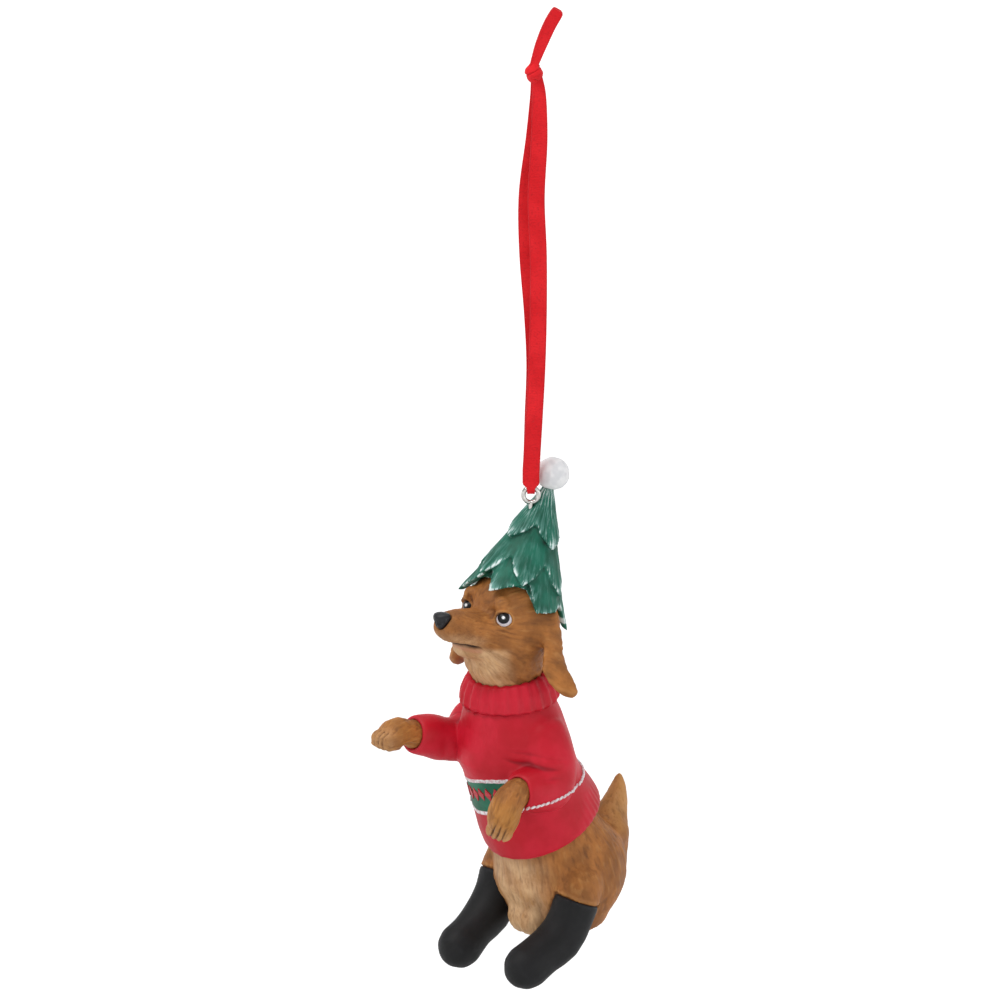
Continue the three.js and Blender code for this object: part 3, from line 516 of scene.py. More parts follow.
def velvet_ribbon():
    """Red ribbon with a short nap, a tight selvedge along both edges and fine cross ribs."""
    coat = Finish("velvet_ribbon", specular_ior_level=0.2, sheen_weight=0.15, sheen_roughness=0.4)
    across, along = coat.mark("across"), coat.mark("along")
    nap = coat.mottle(2600.0, 2.0)
    drift = coat.mottle(140.0, 2.0)
    weft = (along * (2 * math.pi / 0.32)).math("SINE")
    edge = across.math("ABSOLUTE").between(0.78, 0.92)
    red = coat.mix(drift.between(0.35, 0.65), (208, 18, 28), (222, 30, 38))
    napped = coat.mix((nap.between(0.5, 0.3) * 0.4).clamped(), red, (174, 10, 22))
    woven = coat.mix(edge * 0.5, napped, (178, 14, 26))
    height = weft * 0.3 * (1 - edge) + nap * 0.8 + edge * 0.6
    return coat.paint(
        base_color=woven,
        roughness=0.72 + (nap - 0.5) * 0.2,
        normal=coat.bump(height, 0.05),
    )


# Mesh data as arrays.
def rows_of(items, field, width, kind=float):
    flat = np.empty(len(items) * width, dtype=kind)
    items.foreach_get(field, flat)
    return flat.reshape(-1, width)


def points_of(mesh):
    return rows_of(mesh.vertices, "co", 3)


def normals_of(mesh):
    return rows_of(mesh.vertex_normals, "vector", 3)


def pairs_of(mesh):
    return rows_of(mesh.edges, "vertices", 2, np.int64)


def lengths(rows):
    return np.linalg.norm(rows, axis=1)


def put_points(mesh, points):
    mesh.vertices.foreach_set("co", np.ascontiguousarray(points).ravel())
    mesh.update()


def mark(mesh, **fields):
    """Stores a number or a direction for every point, under each field's name."""
    for name, values in fields.items():
        values = np.asarray(values, dtype=float)
        kind, part = ("FLOAT_VECTOR", "vector") if values.ndim == 2 else ("FLOAT", "value")
        mesh.attributes.new(name, kind, "POINT").data.foreach_set(part, values.ravel())


def made_plain(holder, name):
    """The evaluated mesh of an object with modifiers; the object itself goes."""
    graph = bpy.context.evaluated_depsgraph_get()
    mesh = bpy.data.meshes.new_from_object(holder.evaluated_get(graph))
    mesh.name = name
    bpy.data.objects.remove(holder)
    return mesh


def smooth(values, low, high):
    """0 at low, 1 at high, with a smooth rise; high may be the lower number."""
    part = np.clip((values - low) / (high - low), 0, 1)
    return part * part * (3 - 2 * part)


def bell(values, width):
    """1 at nought, falling away to both sides over about a width."""
    return np.exp(-((values / width) ** 2))


def lattice(cells, seed):
    """Random values from -1 to 1 for whole-number cells, the same on every run."""
    mixed = cells[:, 0] * 73856093 ^ cells[:, 1] * 19349663 ^ cells[:, 2] * 83492791 ^ (seed + 1) * 40503
    mixed &= 0xFFFFFFFF
    mixed = ((mixed ^ (mixed >> 13)) * 1274126177) & 0xFFFFFFFF
    return ((mixed ^ (mixed >> 16)) & 0xFFFF) / 32767.5 - 1


def grain(points, seed=0):
    """Smooth random field, about -1 to 1, that changes over one unit."""
    cell = np.floor(points).astype(np.int64)
    part = points - cell
    ease = part * part * (3 - 2 * part)
    total = np.zeros(len(points))
    for corner in np.ndindex(2, 2, 2):
        share = np.prod(np.where(corner, ease, 1 - ease), axis=1)
        total += share * lattice(cell + corner, seed)
    return total


def eased(points, pairs, passes):
    """Every point drawn towards the mean of its neighbours, passes times."""
    count = len(points)
    ties = np.maximum(np.bincount(pairs.ravel(), minlength=count), 1)[:, None]
    points = points.copy()
    first, second = pairs.T
    for _ in range(passes):
        sums = [
            np.bincount(first, points[second, axis], count) + np.bincount(second, points[first, axis], count)
            for axis in range(3)
        ]
        points += 0.5 * (np.stack(sums, axis=1) / ties - points)
    return points


def relief_of(mesh, passes, depth):
    """How far each point stands out (+) or lies sunk (-) against its surroundings, from -1 to 1."""
    points = points_of(mesh)
    gap = ((points - eased(points, pairs_of(mesh), passes)) * normals_of(mesh)).sum(axis=1)
    return np.clip(gap / (depth * MM), -1, 1)


def joined(nodes):
    """Copies of solids in one editable mesh."""
    form = bmesh.new()
    for node in nodes:
        form.from_mesh(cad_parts[node].data)
    return form


def cast(name, nodes, voxel, passes, swell, fills=()):
    """Copies of solids as one casting: swelled so that seams close, meshed evenly, eased so that facets go.

    voxel and swell are millimetres. fills are places and radii where the casting is fuller than the solids.
    """
    form = joined(nodes)
    for place, radius in fills:
        spot = Matrix.Translation(mm(*place))
        bmesh.ops.create_icosphere(form, subdivisions=3, radius=radius * MM, matrix=spot)
    bmesh.ops.remove_doubles(form, verts=form.verts, dist=1e-6)
    rough = bpy.data.meshes.new(name + "_rough")
    form.to_mesh(rough)
    form.free()
    put_points(rough, points_of(rough) + normals_of(rough) * swell * MM)
    holder = new_object(name + "_rough", rough)
    even = holder.modifiers.new("even", "REMESH")
    even.mode = "VOXEL"
    even.voxel_size = voxel * MM
    mesh = made_plain(holder, name)
    start = points_of(mesh)
    put_points(mesh, eased(start, pairs_of(mesh), passes))
    settled, normals = points_of(mesh), normals_of(mesh)
    shrink = ((start - settled) * normals).sum(axis=1).mean()
    put_points(mesh, settled + normals * shrink)
    mesh.shade_smooth()
    return mesh


def carve(mesh, depth):
    """Moves every point along its normal by depth, in millimetres."""
    put_points(mesh, points_of(mesh) + normals_of(mesh) * (depth * MM)[:, None])


def show(mesh, paint, nodes=(), body="figure"):
    """Makes a finished mesh a piece of the same name that stands for its CAD nodes."""
    mesh.materials.clear()
    mesh.materials.append(paint)
    piece = new_object(mesh.name, mesh)
    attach(piece, body)
    if nodes:
        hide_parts(*nodes)
    return piece


def middle_of(node):
    low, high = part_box(node)
    return (low + high) / 2


# Ribbon: one strip from the knot down through the eye and back up to the knot. Half of its section is given,
# as shares of half its width and half its thickness. The other half is this one turned.
STRIP_SECTION = [
    (1, 0),
    (0.97, 0.8),
    (0.86, 1),
    (0.5, 0.84),
    (0, 0.8),
    (-0.5, 0.84),
    (-0.86, 1),
    (-0.97, 0.8),
]


def spline(stops, steps):
    """A smooth run through rows of numbers, with the given steps in each gap."""
    rows = np.array(stops, dtype=float)
    ends = np.vstack([2 * rows[0] - rows[1], rows, 2 * rows[-1] - rows[-2]])
    run = []
    for a, b, c, d in zip(ends, ends[1:], ends[2:], ends[3:]):
        for t in np.arange(steps) / steps:
            curve = 2 * b + (c - a) * t + (2 * a - 5 * b + 4 * c - d) * t**2 + (3 * b - a - 3 * c + d) * t**3
            run.append(curve / 2)
    return np.array([*run, rows[-1]])


def tube_mesh(name, rings):
    """A tube with closed ends through rings of places, in millimetres."""
    count, around = rings.shape[:2]
    ends = [tuple(range(around))[::-1], tuple(range((count - 1) * around, count * around))]
    mesh = bpy.data.meshes.new(name)
    mesh.from_pydata((rings.reshape(-1, 3) * MM).tolist(), [], ring_faces(count, around) + ends)
    shaped = bmesh.new()
    shaped.from_mesh(mesh)
    bmesh.ops.recalc_face_normals(shaped, faces=shaped.faces)
    shaped.to_mesh(mesh)
    shaped.free()
    mesh.shade_smooth()
    return mesh


def runs_of(points):
    """Directions along a path."""
    runs = np.gradient(points, axis=0)
    return runs / lengths(runs)[:, None]


def strip_mesh(name, points, across, widths):
    """A ribbon along points, in millimetres, with its width along across."""
    section = np.array(STRIP_SECTION + [(-beside, -through) for beside, through in STRIP_SECTION])
    runs = runs_of(points)
    sides = across - (runs @ across)[:, None] * runs
    sides /= lengths(sides)[:, None]
    lifts = np.cross(runs, sides)
    rings = points[:, None] + sides[:, None] * (section[None, :, :1] * widths[:, None, None] / 2)
    rings = rings + lifts[:, None] * (section[None, :, 1:] * RIBBON_THICKNESS / 2)
    mesh = tube_mesh(name, rings)
    steps = lengths(np.diff(points, axis=0))
    mark(mesh, across=np.tile(section[:, 0], len(points)))
    mark(mesh, along=np.repeat(np.concatenate([[0], np.cumsum(steps)]), len(section)))
    return mesh


def heading():
    """Across and ahead of the ribbon, whose flat side is turned from the front."""
    turn = math.radians(RIBBON_TURN)
    across = np.array([math.cos(turn), math.sin(turn), 0.0])
    return across, np.array([across[1], -across[0], 0.0])


def strand_rows(way):
    """Rows of place and width up one strand: way is 1 in front and -1 behind."""
    across, ahead = heading()
    rows = []
    for height, gap, spread, sway, wide in STRAND_STOPS:
        at = way * ahead * gap + across * (way * spread + sway)
        rows.append((at[0], at[1], height + EYE_TOP.z / MM, wide))
    return spline(rows, 12)


def make_ribbon(velvet):
    across, ahead = heading()
    drop = EYE_TOP.z / MM
    side = ahead[:2] * BIGHT_RADIUS
    down = [(*side, drop + height, wide) for height, wide in BIGHT_RISES]
    under = []
    for turn in np.linspace(0, math.pi, 17):
        wide = BIGHT_WIDTH * (1 + BIGHT_FLARE * abs(math.cos(turn)))
        under.append((*(side * math.cos(turn)), drop - BIGHT_RADIUS * math.sin(turn), wide))
    up = [(*-side, drop + height, wide) for height, wide in reversed(BIGHT_RISES)]
    rows = np.vstack([strand_rows(1)[::-1], down, under, up, strand_rows(-1)])
    points = rows[:, :3]
    mesh = strip_mesh("ribbon_loop", points, across, rows[:, 3])
    mesh.materials.append(velvet)
    loop = new_object("ribbon_loop", mesh)
    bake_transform(loop)
    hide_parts("ribbon_front_strand", "ribbon_back_strand", "ribbon_bight")
    make_knot(velvet)
    make_end(velvet, 1)
    make_end(velvet, -1)


def make_knot(velvet):
    """Overhand knot: a drawn ball of ribbon with the folds of its crossing turns."""
    across, _ = heading()
    centre = np.array(middle_of("ribbon_knot")) / MM
    mesh = cast("ribbon_knot_tied", ["ribbon_knot"], voxel=0.1, passes=14, swell=0.12)
    put_points(mesh, points_of(mesh) + across * KNOT_SHIFT * MM)
    spots = points_of(mesh) / MM - centre - across * KNOT_SHIFT
    beside, rise = spots @ across, spots[:, 2]
    upper = bell(rise - 0.5 - 0.55 * beside, 0.17)
    lower = bell(rise + 0.9 + 0.7 * beside, 0.17) * smooth(beside, -0.6, 0.2)
    folds = np.clip(upper + lower, 0, 1)
    carve(mesh, 0.12 * smooth(np.abs(rise - 0.55 * beside), 1.4, 0.4) - 0.24 * folds)
    mark(mesh, across=folds)
    return show(mesh, velvet, ["ribbon_knot"], body="ribbon")


def make_end(velvet, way):
    """One cut end, standing up out of the knot and leaning to one side."""
    across, ahead = heading()
    foot = np.array([0, 0, END_FOOT]) + way * (END_GAP + RIBBON_THICKNESS) / 2 * ahead
    stops = []
    for lean, rise, wide in END_STOPS:
        stops.append((*(foot + across * lean + np.array([0, 0, rise])), wide))
    rows = spline(stops, 8)
    label = "front" if way > 0 else "back"
    name = f"ribbon_end_{label}_cut"
    mesh = strip_mesh(name, rows[:, :3], across, rows[:, 3])
    return show(mesh, velvet, [f"ribbon_end_{label}"], body="ribbon")


# Metal eye: one wire that comes up out of the hat and curls round until it meets itself.
def make_eye_pin(metal):
    across, ahead = heading()
    low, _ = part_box("eye_pin")
    centre = np.array(EYE_TOP) / MM - np.array([0, 0, RING_RADIUS])
    shank = [(0, centre[1], z) for z in np.linspace(low.z / MM, centre[2] - RING_RADIUS - 0.3, 8)]
    sweep = np.radians(np.linspace(*RING_SWEEP, 44))
    curl = centre + RING_RADIUS * (np.outer(np.cos(sweep), across) + np.outer(np.sin(sweep), [0, 0, 1]))
    path = np.vstack([shank, curl])
    flat = np.tile(ahead, (len(path), 1))
    out = np.cross(runs_of(path), flat)
    turns = np.linspace(0, 2 * math.pi, WIRE_SIDES, endpoint=False)
    section = np.cos(turns)[None, :, None] * out[:, None] + np.sin(turns)[None, :, None] * flat[:, None]
    mesh = tube_mesh("eye_wire", path[:, None] + WIRE_RADIUS * section)
    show(mesh, metal, ["eye_pin"])


# Carved strokes: coordinates whose cells are a stroke wide across the fur and a stroke long along it.
def lengthwise(points, axis, width, length):
    axis = np.array(Vector(axis).normalized())
    along = points @ axis
    across = points - np.outer(along, axis)
    return across / (width * MM) + np.outer(along / (length * MM), axis)


def outward(points, centre, cells, length):
    away = points - np.array(centre)
    reach = lengths(away)[:, None]
    return away / reach * (cells + reach / (length * MM))


def furred(mesh, flow, depth, seed, passes=10, sunk=0.12):
    """Carves strokes into a casting and stores what its paint follows."""
    # The relief mark drives painted shade in hollows and a painted highlight on raised places.
    relief = relief_of(mesh, passes, sunk)
    strokes = np.clip(0.75 * grain(flow, seed) + 0.5 * grain(flow * 2.1, seed + 1), -1, 1) * 1.15
    carve(mesh, strokes * depth)
    mark(mesh, flow=flow, stroke=strokes, relief=relief)


# Head.
def softened(mesh, weight, passes):
    """Eases the mesh only where weight says so."""
    start = points_of(mesh)
    weight = np.clip(weight, 0, 1)[:, None]
    put_points(mesh, start + (eased(start, pairs_of(mesh), passes) - start) * weight)


def eye_seat(side):
    """Middle and radius of a painted eye, and the direction in which its lids open."""
    low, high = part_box(f"{side}_eye")
    middle = (low + high) / 2 + EYE_SHIFT[side]
    facing = ((low + high) / 2 - SKULL).normalized() + EYE_FACING[side]
    return middle, (high - low).x / 2, facing.normalized()


def make_head(fur):
    """Head and ears in one casting, with raised rims round the eyes and a cut mouth."""
    nodes, eyes = ["head", "left_ear", "right_ear"], ["left_eye", "right_eye"]
    mesh = cast("head_fur", nodes + eyes, voxel=0.22, passes=22, swell=0.16, fills=BROW_FILLS)
    x, y, z = ((points_of(mesh) - np.array(SKULL)) / MM).T
    flap = smooth(np.abs(x), 5.8, 7.0) * smooth(y, 2.8, 1.0) * smooth(z, -8.5, -5) * smooth(z, 5, 3)
    softened(mesh, flap, 300)
    spots = (points_of(mesh) - np.array(SKULL)) / MM
    x, y, z = spots.T
    nose = middle_of("nose")
    below = np.interp(y, MOUTH_BACK, MOUTH_RISE) - z
    front = smooth(np.abs(x), 6.5, 5.5)
    thick = 0.2 + 0.14 * smooth(y, -11, -14)
    ink = bell(below, thick) * smooth(y, -9.8, -12.0) * smooth(y, -16.2, -15.4) * front
    lip = smooth(below, 0.2, 0.45) * smooth(below, 1.35, 0.9) * smooth(y, -9.8, -10.8) * front
    split = bell(x, 0.2) * smooth(z, -0.9, -1.3) * smooth(z, -3.2, -2.7) * smooth(y, -15, -16)
    lid, ridge, socket = np.zeros((3, len(x)))
    for side in ("left", "right"):
        middle, radius, facing = eye_seat(side)
        away = spots - np.array(middle - SKULL) / MM
        ahead = away @ np.array(facing)
        across = away - np.outer(ahead, np.array(facing))
        aside = lengths(across * (1, 1, LID_FLATTENING))
        upper = smooth(away[:, 2], -0.4, 0.9)
        inner = smooth(np.abs(x) - abs(middle.x) / MM, 0.3, -1.2)
        mine = (ahead > -1) * (x * middle.x > 0)
        brow = BROW_RIDGE[side]
        rim = aside - (LID_OPENING - 0.2 * upper)
        ridge += bell(rim - 0.3, 0.3) * (0.4 + 0.6 * upper) * (1 - 0.7 * inner) * mine * brow
        near = bell(np.maximum(aside - radius / MM, 0), 1.8) * mine
        socket += near * (0.2 - EYE_HOLLOW[side] * inner) - 1.2 * smooth(rim, 0.12, -0.12) * mine
        lid += smooth(rim, 0.2, 0.05) * (0.25 + 0.6 * upper * brow) * mine
    far_ear = smooth(x, -7.5, -9) * smooth(z, -5, -8)
    carve(mesh, socket + 0.18 * ridge + 0.6 * far_ear - 0.42 * ink - 0.2 * split + 0.1 * lip)
    reach = lengths(points_of(mesh) - np.array(nose)) / MM
    flow = outward(points_of(mesh), nose, 20, 4.5)
    calm = (1 - np.clip(lid + lip + ink + 0.7 * np.clip(ridge, 0, 1), 0, 1)) * smooth(reach, 2.5, 4.5)
    furred(mesh, flow, (0.05 + 0.09 * smooth(reach, 5, 17)) * calm, seed=3)
    turn = np.degrees(np.arctan2(np.abs(x), -(y + 1.5)))
    throat = smooth(below, -0.2, 1.0) * smooth(turn, 76, 40) * smooth(np.abs(x), 7.4, 6.2)
    muzzle = 0.75 * smooth(below, -3.2, -0.8) * smooth(y, -8.5, -12.5)
    mark(mesh, cream=np.clip(0.8 * throat + muzzle, 0, 1))
    mark(mesh, ink=np.clip(ink * 1.2 + 0.5 * split, 0, 1))
    mark(mesh, lip=lip * 0.4, lid=np.clip(lid, 0, 1))
    show(mesh, fur, nodes)


def make_nose(black):
    mesh = cast("nose_tip", ["nose"], voxel=0.14, passes=10, swell=0.1)
    spots = (points_of(mesh) - np.array(middle_of("nose"))) / MM
    x, y, z = spots.T
    pits = np.zeros(len(x))
    for side in (-1, 1):
        pits += bell(lengths(spots - np.array([side * 1.05, -1.6, -0.35])), 0.5)
    groove = bell(x, 0.14) * smooth(z, 0.5, 0.1) * smooth(y, -1.0, -1.5)
    carve(mesh, -0.4 * pits - 0.16 * groove)
    mark(mesh, relief=np.clip(-(pits + groove), -1, 1))
    show(mesh, black, ["nose"])


def make_eye(gloss, side):
    """Painted eyeball: angles from its line of sight say where pupil, dot and lid go."""
    middle, radius, facing = eye_seat(side)
    ball = bmesh.new()
    bmesh.ops.create_uvsphere(ball, u_segments=56, v_segments=36, radius=radius)
    mesh = bpy.data.meshes.new(f"{side}_eye_painted")
    ball.to_mesh(mesh)
    ball.free()
    ways = points_of(mesh)
    put_points(mesh, ways + np.array(middle + facing * EYE_BULGE[side]))
    ways = ways / lengths(ways)[:, None]
    sight = np.array((facing + EYE_GLANCE[side]).normalized())
    angle = np.arccos(np.clip(ways @ sight, -1, 1))
    above = Vector((0, 0, 1)) - facing * facing.z
    mark(mesh, gaze=angle, glint=smooth(angle, 0.21, 0.15))
    mark(mesh, lid=ways @ np.array(above.normalized()))
    mesh.shade_smooth()
    show(mesh, gloss, [f"{side}_eye"])


# Hat.
def make_hat(fir, snow):
    mesh = cast("tree_hat_boughs", ["tree_hat"], voxel=0.22, passes=6, swell=0.15, fills=HAT_TIP_FILL)
    away = points_of(mesh) - np.array(HAT_BRIM)
    axis = np.array(HAT_AXIS)
    station = away @ axis
    radial = away - np.outer(station, axis)
    reach = lengths(radial)
    flow = radial / np.maximum(reach, 1e-6)[:, None] * 12 + np.outer(station / (2.8 * MM), axis)
    mark(mesh, hem=relief_of(mesh, 110, 0.4))
    furred(mesh, flow, np.full(len(station), 0.1), seed=23, passes=14, sunk=0.16)
    show(mesh, fir, ["tree_hat"])
    ball = cast("pompom_wool", ["hat_pompom"], voxel=0.18, passes=6, swell=0.1)
    spots = points_of(ball) / MM
    lumps = 0.6 * grain(spots / 1.3, 31) + 0.4 * grain(spots / 0.6, 32)
    carve(ball, 0.12 * lumps)
    mark(ball, relief=np.clip(lumps * 1.4, -1, 1))
    show(ball, snow, ["hat_pompom"])


# Sweater.
def torso_polar(points):
    """Share along the trunk, angle from its front and distance from its middle line, for many points."""
    axis = np.array(TORSO_AXIS)
    station = (points - np.array(COLLAR_BASE)) @ axis / TORSO_LENGTH
    bow = TORSO_BOW * np.sin(math.pi * np.clip(station, 0, 1))
    middle = np.array(COLLAR_BASE) + np.outer(station * TORSO_LENGTH, axis)
    away = points - middle
    away[:, 1] += bow
    return station, np.arctan2(away[:, 0], -(away @ np.array(TORSO_BACK))), lengths(away)


def rope_station(turn):
    return np.interp(np.degrees(turn), ROPE_TURNS, ROPE_STATIONS)


def panel_top(turn):
    return np.interp(np.degrees(turn), PANEL_TOP_TURNS, PANEL_TOP_STATIONS)


def elbow_creases(points):
    """Three soft creases, nearly level, in the bend of the left elbow."""
    x, y, z = ((points - np.array(INNER_ELBOW)) / MM).T
    slope = z + 0.18 * y + 0.3 * grain(points / (3 * MM), 41)
    total = np.zeros(len(points))
    for rise, ahead, behind, deep in ((0.0, -4.5, 3.5, 1.0), (1.9, -2.5, 5.5, 0.6), (-1.8, -1.0, 5.0, 0.5)):
        window = smooth(y, ahead - 1.5, ahead + 1) * smooth(y, behind + 1.5, behind - 1.5)
        total += deep * bell(slope - rise, 0.45) * window
    return total * smooth(x, -6, -3.5)


def solid_tree(*nodes):
    """Nearest-point lookup on solids."""
    form = joined(nodes)
    tree = BVHTree.FromBMesh(form)
    form.free()
    return tree


def gaps_to(points, *nodes):
    """Distance in millimetres from every point to the nearest of the named solids."""
    tree = solid_tree(*nodes)
    return np.array([tree.find_nearest(Vector(point))[3] for point in points]) / MM


def make_sweater(red):
    nodes = ["sweater_body", "left_sleeve", "right_sleeve"]
    mesh = cast("sweater_knit", nodes, voxel=0.25, passes=46, swell=0.22)
    points = points_of(mesh)
    station, turn, reach = torso_polar(points)
    x, y, z = (points / MM).T
    ahead = y - ARMHOLE_FRONT
    armhole = bell(ahead, np.where(ahead < 0, 2.6, 0.9)) * smooth(x, -5.5, -7.5)
    armhole *= smooth(z, -133, -129) * (0.4 + 0.8 * smooth(normals_of(mesh)[:, 2], 0, 0.6))
    chest = np.interp(station, CHEST_STATIONS, CHEST_SWELLS) * smooth(np.abs(np.degrees(turn) + 30), 60, 25)
    carve(mesh, chest * smooth(reach, 14 * MM, 11.5 * MM) - armhole)
    creases = elbow_creases(points)
    ribs = np.cos(HEM_RIBS * turn) * smooth(station, 0.76, 0.82) * smooth(np.abs(turn), 1.2, 2.0)
    trunk = smooth(reach, 13.2 * MM, 12.6 * MM) * smooth(np.abs(turn), PANEL_REACH + 0.02, PANEL_REACH - 0.02)
    top = station - panel_top(turn)
    low = station - rope_station(turn)
    panel = smooth(top, -PANEL_EDGE, PANEL_EDGE) * smooth(low, PANEL_EDGE, -PANEL_EDGE) * trunk
    nearest = np.minimum(np.abs(top), np.abs(low))
    band = smooth(nearest, PANEL_BAND + PANEL_EDGE, PANEL_BAND - PANEL_EDGE) * trunk
    relief = relief_of(mesh, 16, 0.12)
    carve(mesh, -0.2 * creases + 0.045 * ribs + 0.07 * grain(points / (6 * MM), 43) + 0.1 * band)
    # The relief mark gives painted shade in the folds and elbow creases and a painted highlight on ribs and
    # ridges.
    mark(mesh, relief=np.clip(relief * 0.6 - 0.65 * creases + 0.3 * ribs, -1, 1))
    mark(mesh, panel=panel, band=band)
    show(mesh, red, nodes)
    return mesh


def make_collar(red):
    mesh = cast("collar_knit", ["sweater_collar"], voxel=0.18, passes=9, swell=0.12)
    low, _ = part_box("sweater_collar")
    spots = (points_of(mesh) - np.array(COLLAR_BASE)) / MM
    rise = (points_of(mesh)[:, 2] - low.z) / MM
    ribs = np.cos(COLLAR_RIBS * np.arctan2(spots[:, 1], spots[:, 0])) * smooth(rise, 0.8, 3.0)
    carve(mesh, 0.09 * ribs - 0.5 * smooth(rise, 1.8, 0.4))
    # The relief mark gives painted shade between the ribs and a painted highlight on them.
    mark(mesh, relief=np.clip(relief_of(mesh, 12, 0.12) * 0.7 * smooth(rise, 0.4, 2.0), -1, 1))
    show(mesh, red, ["sweater_collar"])


def applied_row(name, shape, spots, outs, runs, size, paint):
    """Small raised pieces set on the sweater: size is their length, width and height in millimetres."""
    places = bpy.data.meshes.new(name + "_places")
    places.from_pydata([tuple(spot) for spot in spots], [], [])
    mark(places, out=outs, run=runs)
    holder = new_object(name + "_places", places)
    group = bpy.data.node_groups.new(name, "GeometryNodeTree")
    measures = ("Length", "Width", "Height")
    kinds = {"Places": "Geometry", **dict.fromkeys(measures, "Float"), "Paint": "Material"}
    keys = {}
    for label, kind in kinds.items():
        socket = group.interface.new_socket(label, in_out="INPUT", socket_type="NodeSocket" + kind)
        keys[label] = socket.identifier
    group.interface.new_socket("Pieces", in_out="OUTPUT", socket_type="NodeSocketGeometry")
    tree = Tree(group)
    given = {socket.name: Value(tree, socket) for socket in group.nodes.new("NodeGroupInput").outputs}
    if shape == "bead":
        form = tree.add("GeometryNodeMeshIcoSphere", inputs={"Radius": 0.5, "Subdivisions": 3})
    else:
        form = tree.add("GeometryNodeMeshCylinder", inputs={"Vertices": 4, "Radius": 0.5, "Depth": 1.0})
    out, run = [
        tree.add("GeometryNodeInputNamedAttribute", {"data_type": "FLOAT_VECTOR"}, {"Name": field})
        for field in ("out", "run")
    ]
    axes = {"primary_axis": "Z", "secondary_axis": "X"}
    turned = tree.add("FunctionNodeAxesToRotation", axes, {"Primary Axis": out, "Secondary Axis": run})
    sides = {axis: given[label] for axis, label in zip("XYZ", measures)}
    scale = tree.add("ShaderNodeCombineXYZ", inputs=sides)
    placing = {"Points": given["Places"], "Instance": form, "Rotation": turned, "Scale": scale}
    placed = tree.add("GeometryNodeInstanceOnPoints", inputs=placing)
    real = tree.add("GeometryNodeRealizeInstances", inputs={"Geometry": placed})
    coated = tree.add("GeometryNodeSetMaterial", inputs={"Geometry": real, "Material": given["Paint"]})
    tree.link(coated, group.nodes.new("NodeGroupOutput").inputs[0])
    row = holder.modifiers.new("row", "NODES")
    row.node_group = group
    for label, value in zip(measures, size):
        row[keys[label]] = value * MM
    row[keys["Paint"]] = paint
    mesh = made_plain(holder, name)
    if shape == "bead":
        mesh.shade_smooth()
    show(mesh, paint)


def skin_of(mesh):
    """Lookup on a finished casting."""
    places = [vertex.co.copy() for vertex in mesh.vertices]
    return BVHTree.FromPolygons(places, [tuple(face.vertices) for face in mesh.polygons])


def skin_line(skin, stations, turns, seen=None):
    """Places on the sweater, one for each station and turn.

    Where the line passes the near sleeve, it lies on top of what is seen along the given direction.
    """
    trunk = solid_tree("sweater_body")
    spots = []
    for station, turn in zip(stations, turns):
        bow = Vector((0, -TORSO_BOW * math.sin(math.pi * station), 0))
        middle = COLLAR_BASE + TORSO_AXIS * TORSO_LENGTH * station + bow
        way = Vector((math.sin(turn), 0, 0)) - TORSO_BACK * math.cos(turn)
        under = trunk.ray_cast(middle + way * 30 * MM, -way)[0]
        if seen and NEAR_SLEEVE[0] < turn < NEAR_SLEEVE[1]:
            spots.append(skin.ray_cast(under + seen * 30 * MM, -seen)[0])
        else:
            spots.append(skin.ray_cast(under + way * 2 * MM, -way)[0])
    return spots


def bridged(skin, spots, step):
    """The same line, with places added over the skin where two neighbours are more than a step apart."""
    line = []
    for here, after in zip(spots, spots[1:]):
        count = max(1, round((after - here).length / step))
        line += [skin.find_nearest(here.lerp(after, part / count))[0] for part in range(count)]
    return [*line, spots[-1]]


def laid_row(name, shape, skin, spots, lean, size, paint):
    """Sets pieces on places of the skin, along the line they make, each turned by lean."""
    outs, runs, places = [], [], []
    for before, here, after in zip([spots[0], *spots], spots, [*spots[1:], spots[-1]]):
        out = skin.find_nearest(here)[1]
        run = (after - before).normalized()
        outs.append(out)
        runs.append(run * math.cos(lean) + out.cross(run) * math.sin(lean))
        places.append(here + out * 0.08 * MM)
    applied_row(name, shape, places, outs, runs, size, paint)


def make_trim(knit, white, motif, seen):
    """The rope round the sweater, from one edge of the panel to the other, and the panel's diamonds."""
    skin = skin_of(knit)
    turns = np.linspace(PANEL_REACH, 2 * math.pi - PANEL_REACH, ROPE_PLACES)
    turns = np.where(turns > math.pi, turns - 2 * math.pi, turns)
    spots = bridged(skin, skin_line(skin, rope_station(turns), turns, seen), ROPE_STEP)
    laid_row("hem_rope", "bead", skin, spots, ROPE_LEAN, ROPE_BEAD, white)
    inner = PANEL_REACH - 0.12
    turns = np.linspace(-inner, inner, DIAMONDS)
    spots = skin_line(skin, (rope_station(turns) + panel_top(turns)) / 2, turns)
    laid_row("panel_diamonds", "diamond", skin, spots, 0.0, DIAMOND, motif)


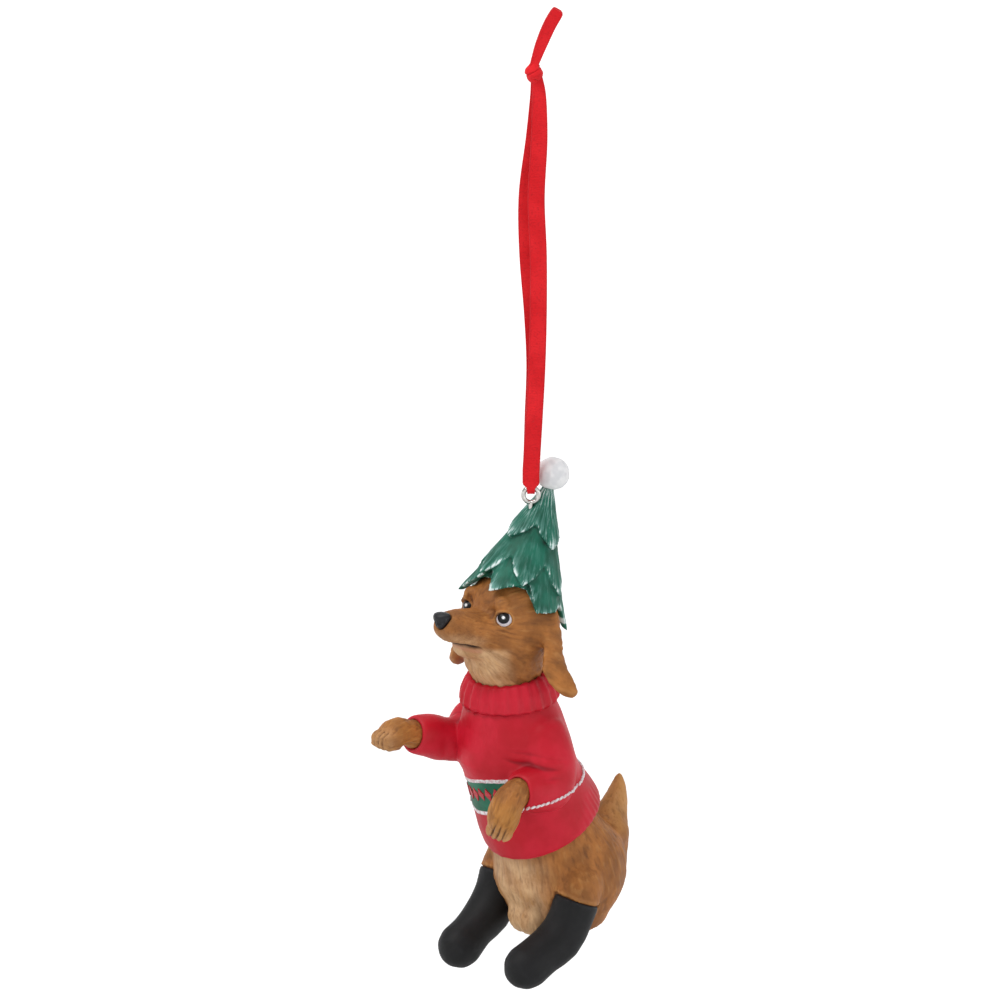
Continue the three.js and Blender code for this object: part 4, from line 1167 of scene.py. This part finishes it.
# Paws, hips, tail and boots.
def make_paw(fur, side):
    """Paw whose toes are parted by dark grooves that run back from its tip."""
    node = f"{side}_forepaw"
    mesh = cast(node + "_fur", [node], voxel=0.14, passes=6, swell=0.12)
    hanging = side == "left"
    axis = Vector((-0.05, -0.45, -0.85) if hanging else (0.02, -1, -0.08)).normalized()
    row = Vector((0.64, 0.77, 0) if hanging else (1, 0, 0))
    row = (row - axis * row.dot(axis)).normalized()
    points = points_of(mesh)
    reach = points @ np.array(axis)
    reach = (reach.max() - reach) / MM
    if not hanging:
        palm = smooth(normals_of(mesh)[:, 2], -0.1, -0.7)
        carve(mesh, palm * (0.3 * smooth(reach, 4, 2) - 0.8 * bell(reach - 6, 1.7)))
    beside = points @ np.array(row) / MM
    middle = beside[reach < 1.2].mean()
    parting = np.zeros(len(points))
    for offset in (-1.1, 0.0, 1.1):
        parting += bell(beside - middle - offset, 0.18)
    parting *= smooth(reach, 3.4, 2.0) if hanging else 0.5 * smooth(reach, 2.6, 1.2)
    carve(mesh, -0.24 * parting)
    depth = (0.07 * smooth(reach, 1.0, 3.5) + 0.015) * (1 - np.clip(parting, 0, 1))
    furred(mesh, lengthwise(points, axis, 0.5, 3.0), depth, seed=51, passes=16)
    mark(mesh, gold=(0.6 if hanging else 0.25) * smooth(reach, 9.0, 5.0))
    mark(mesh, cream=0.45 * smooth(reach, 3.4, 0.8))
    mark(mesh, ink=(0.65 if hanging else 0.4) * np.clip(parting, 0, 1))
    show(mesh, fur, [node])


def right_toe(points):
    """How much each place belongs to the right boot's toe, which hangs lower than the left one's."""
    return smooth(points[:, 1], -3 * MM, -9 * MM) * smooth(points[:, 0], -3 * MM, -5 * MM)


def make_hips(fur):
    """Haunches and tail in one casting that runs on inside the boots, so that they meet flush."""
    boots = ("left_boot", "right_boot")
    mesh = cast("hips_fur", ["hips", "tail", *boots], voxel=0.28, passes=50, swell=0.18, fills=HIP_FILLS)
    low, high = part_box("tail")
    points = points_of(mesh)
    shod = smooth(gaps_to(points, *boots) - gaps_to(points, "hips", "tail"), 0.3, -0.3)
    carve(mesh, -0.6 * shod)
    put_points(mesh, points_of(mesh) - np.outer(shod * right_toe(points), TOE_DROP))
    spots = (points - np.array(COLLAR_BASE + TORSO_AXIS * TORSO_LENGTH)) / MM
    turn = np.degrees(np.arctan2(np.abs(spots[:, 0]), -(spots[:, 1] - 3.5)))
    belly = smooth(turn, 52, 20) * smooth(spots[:, 2], -2, -9)
    flow = lengthwise(points, (0, 0.25, -1), 0.7, 4.2)
    furred(mesh, flow, (0.08 + 0.08 * belly) * (1 - shod), seed=61, passes=14)
    tip = smooth(points[:, 2], low.z + 1 * MM, high.z - 5 * MM)
    tip *= smooth(points[:, 1], low.y + 1 * MM, low.y + 4 * MM)
    mark(mesh, cream=np.clip(0.9 * belly + 0.3 * tip, 0, 1))
    mark(mesh, gold=np.clip(tip + 0.3 * smooth(points[:, 1], -6 * MM, -12 * MM), 0, 1))
    show(mesh, fur, ["hips", "tail"])


def make_boot(black, side):
    node = f"{side}_boot"
    mesh = cast(node + "_cast", [node], voxel=0.28, passes=16, swell=0.14)
    points = points_of(mesh)
    put_points(mesh, points - np.outer(right_toe(points), TOE_DROP))
    carve(mesh, 0.05 * grain(points / (3.5 * MM), 71) + 0.015 * grain(points / (0.8 * MM), 72))
    mark(mesh, relief=relief_of(mesh, 14, 0.12))
    show(mesh, black, [node])


# The ornament, from the ribbon down.
aim, right, back, up = set_camera()
set_studio(aim, right, back, up)
make_ribbon(velvet_ribbon())
make_eye_pin(nickel())
make_hat(fir_paint(), snow_paint())
fur = fur_paint()
make_head(fur)
make_nose(nose_paint())
gloss = eye_gloss()
knit = sweater_paint()
make_collar(knit)
make_trim(make_sweater(knit), line_paint(), motif_paint(), back)
make_hips(fur)
boot_black = boot_paint()
for side in ("left", "right"):
    make_eye(gloss, side)
    make_paw(fur, side)
    make_boot(boot_black, side)
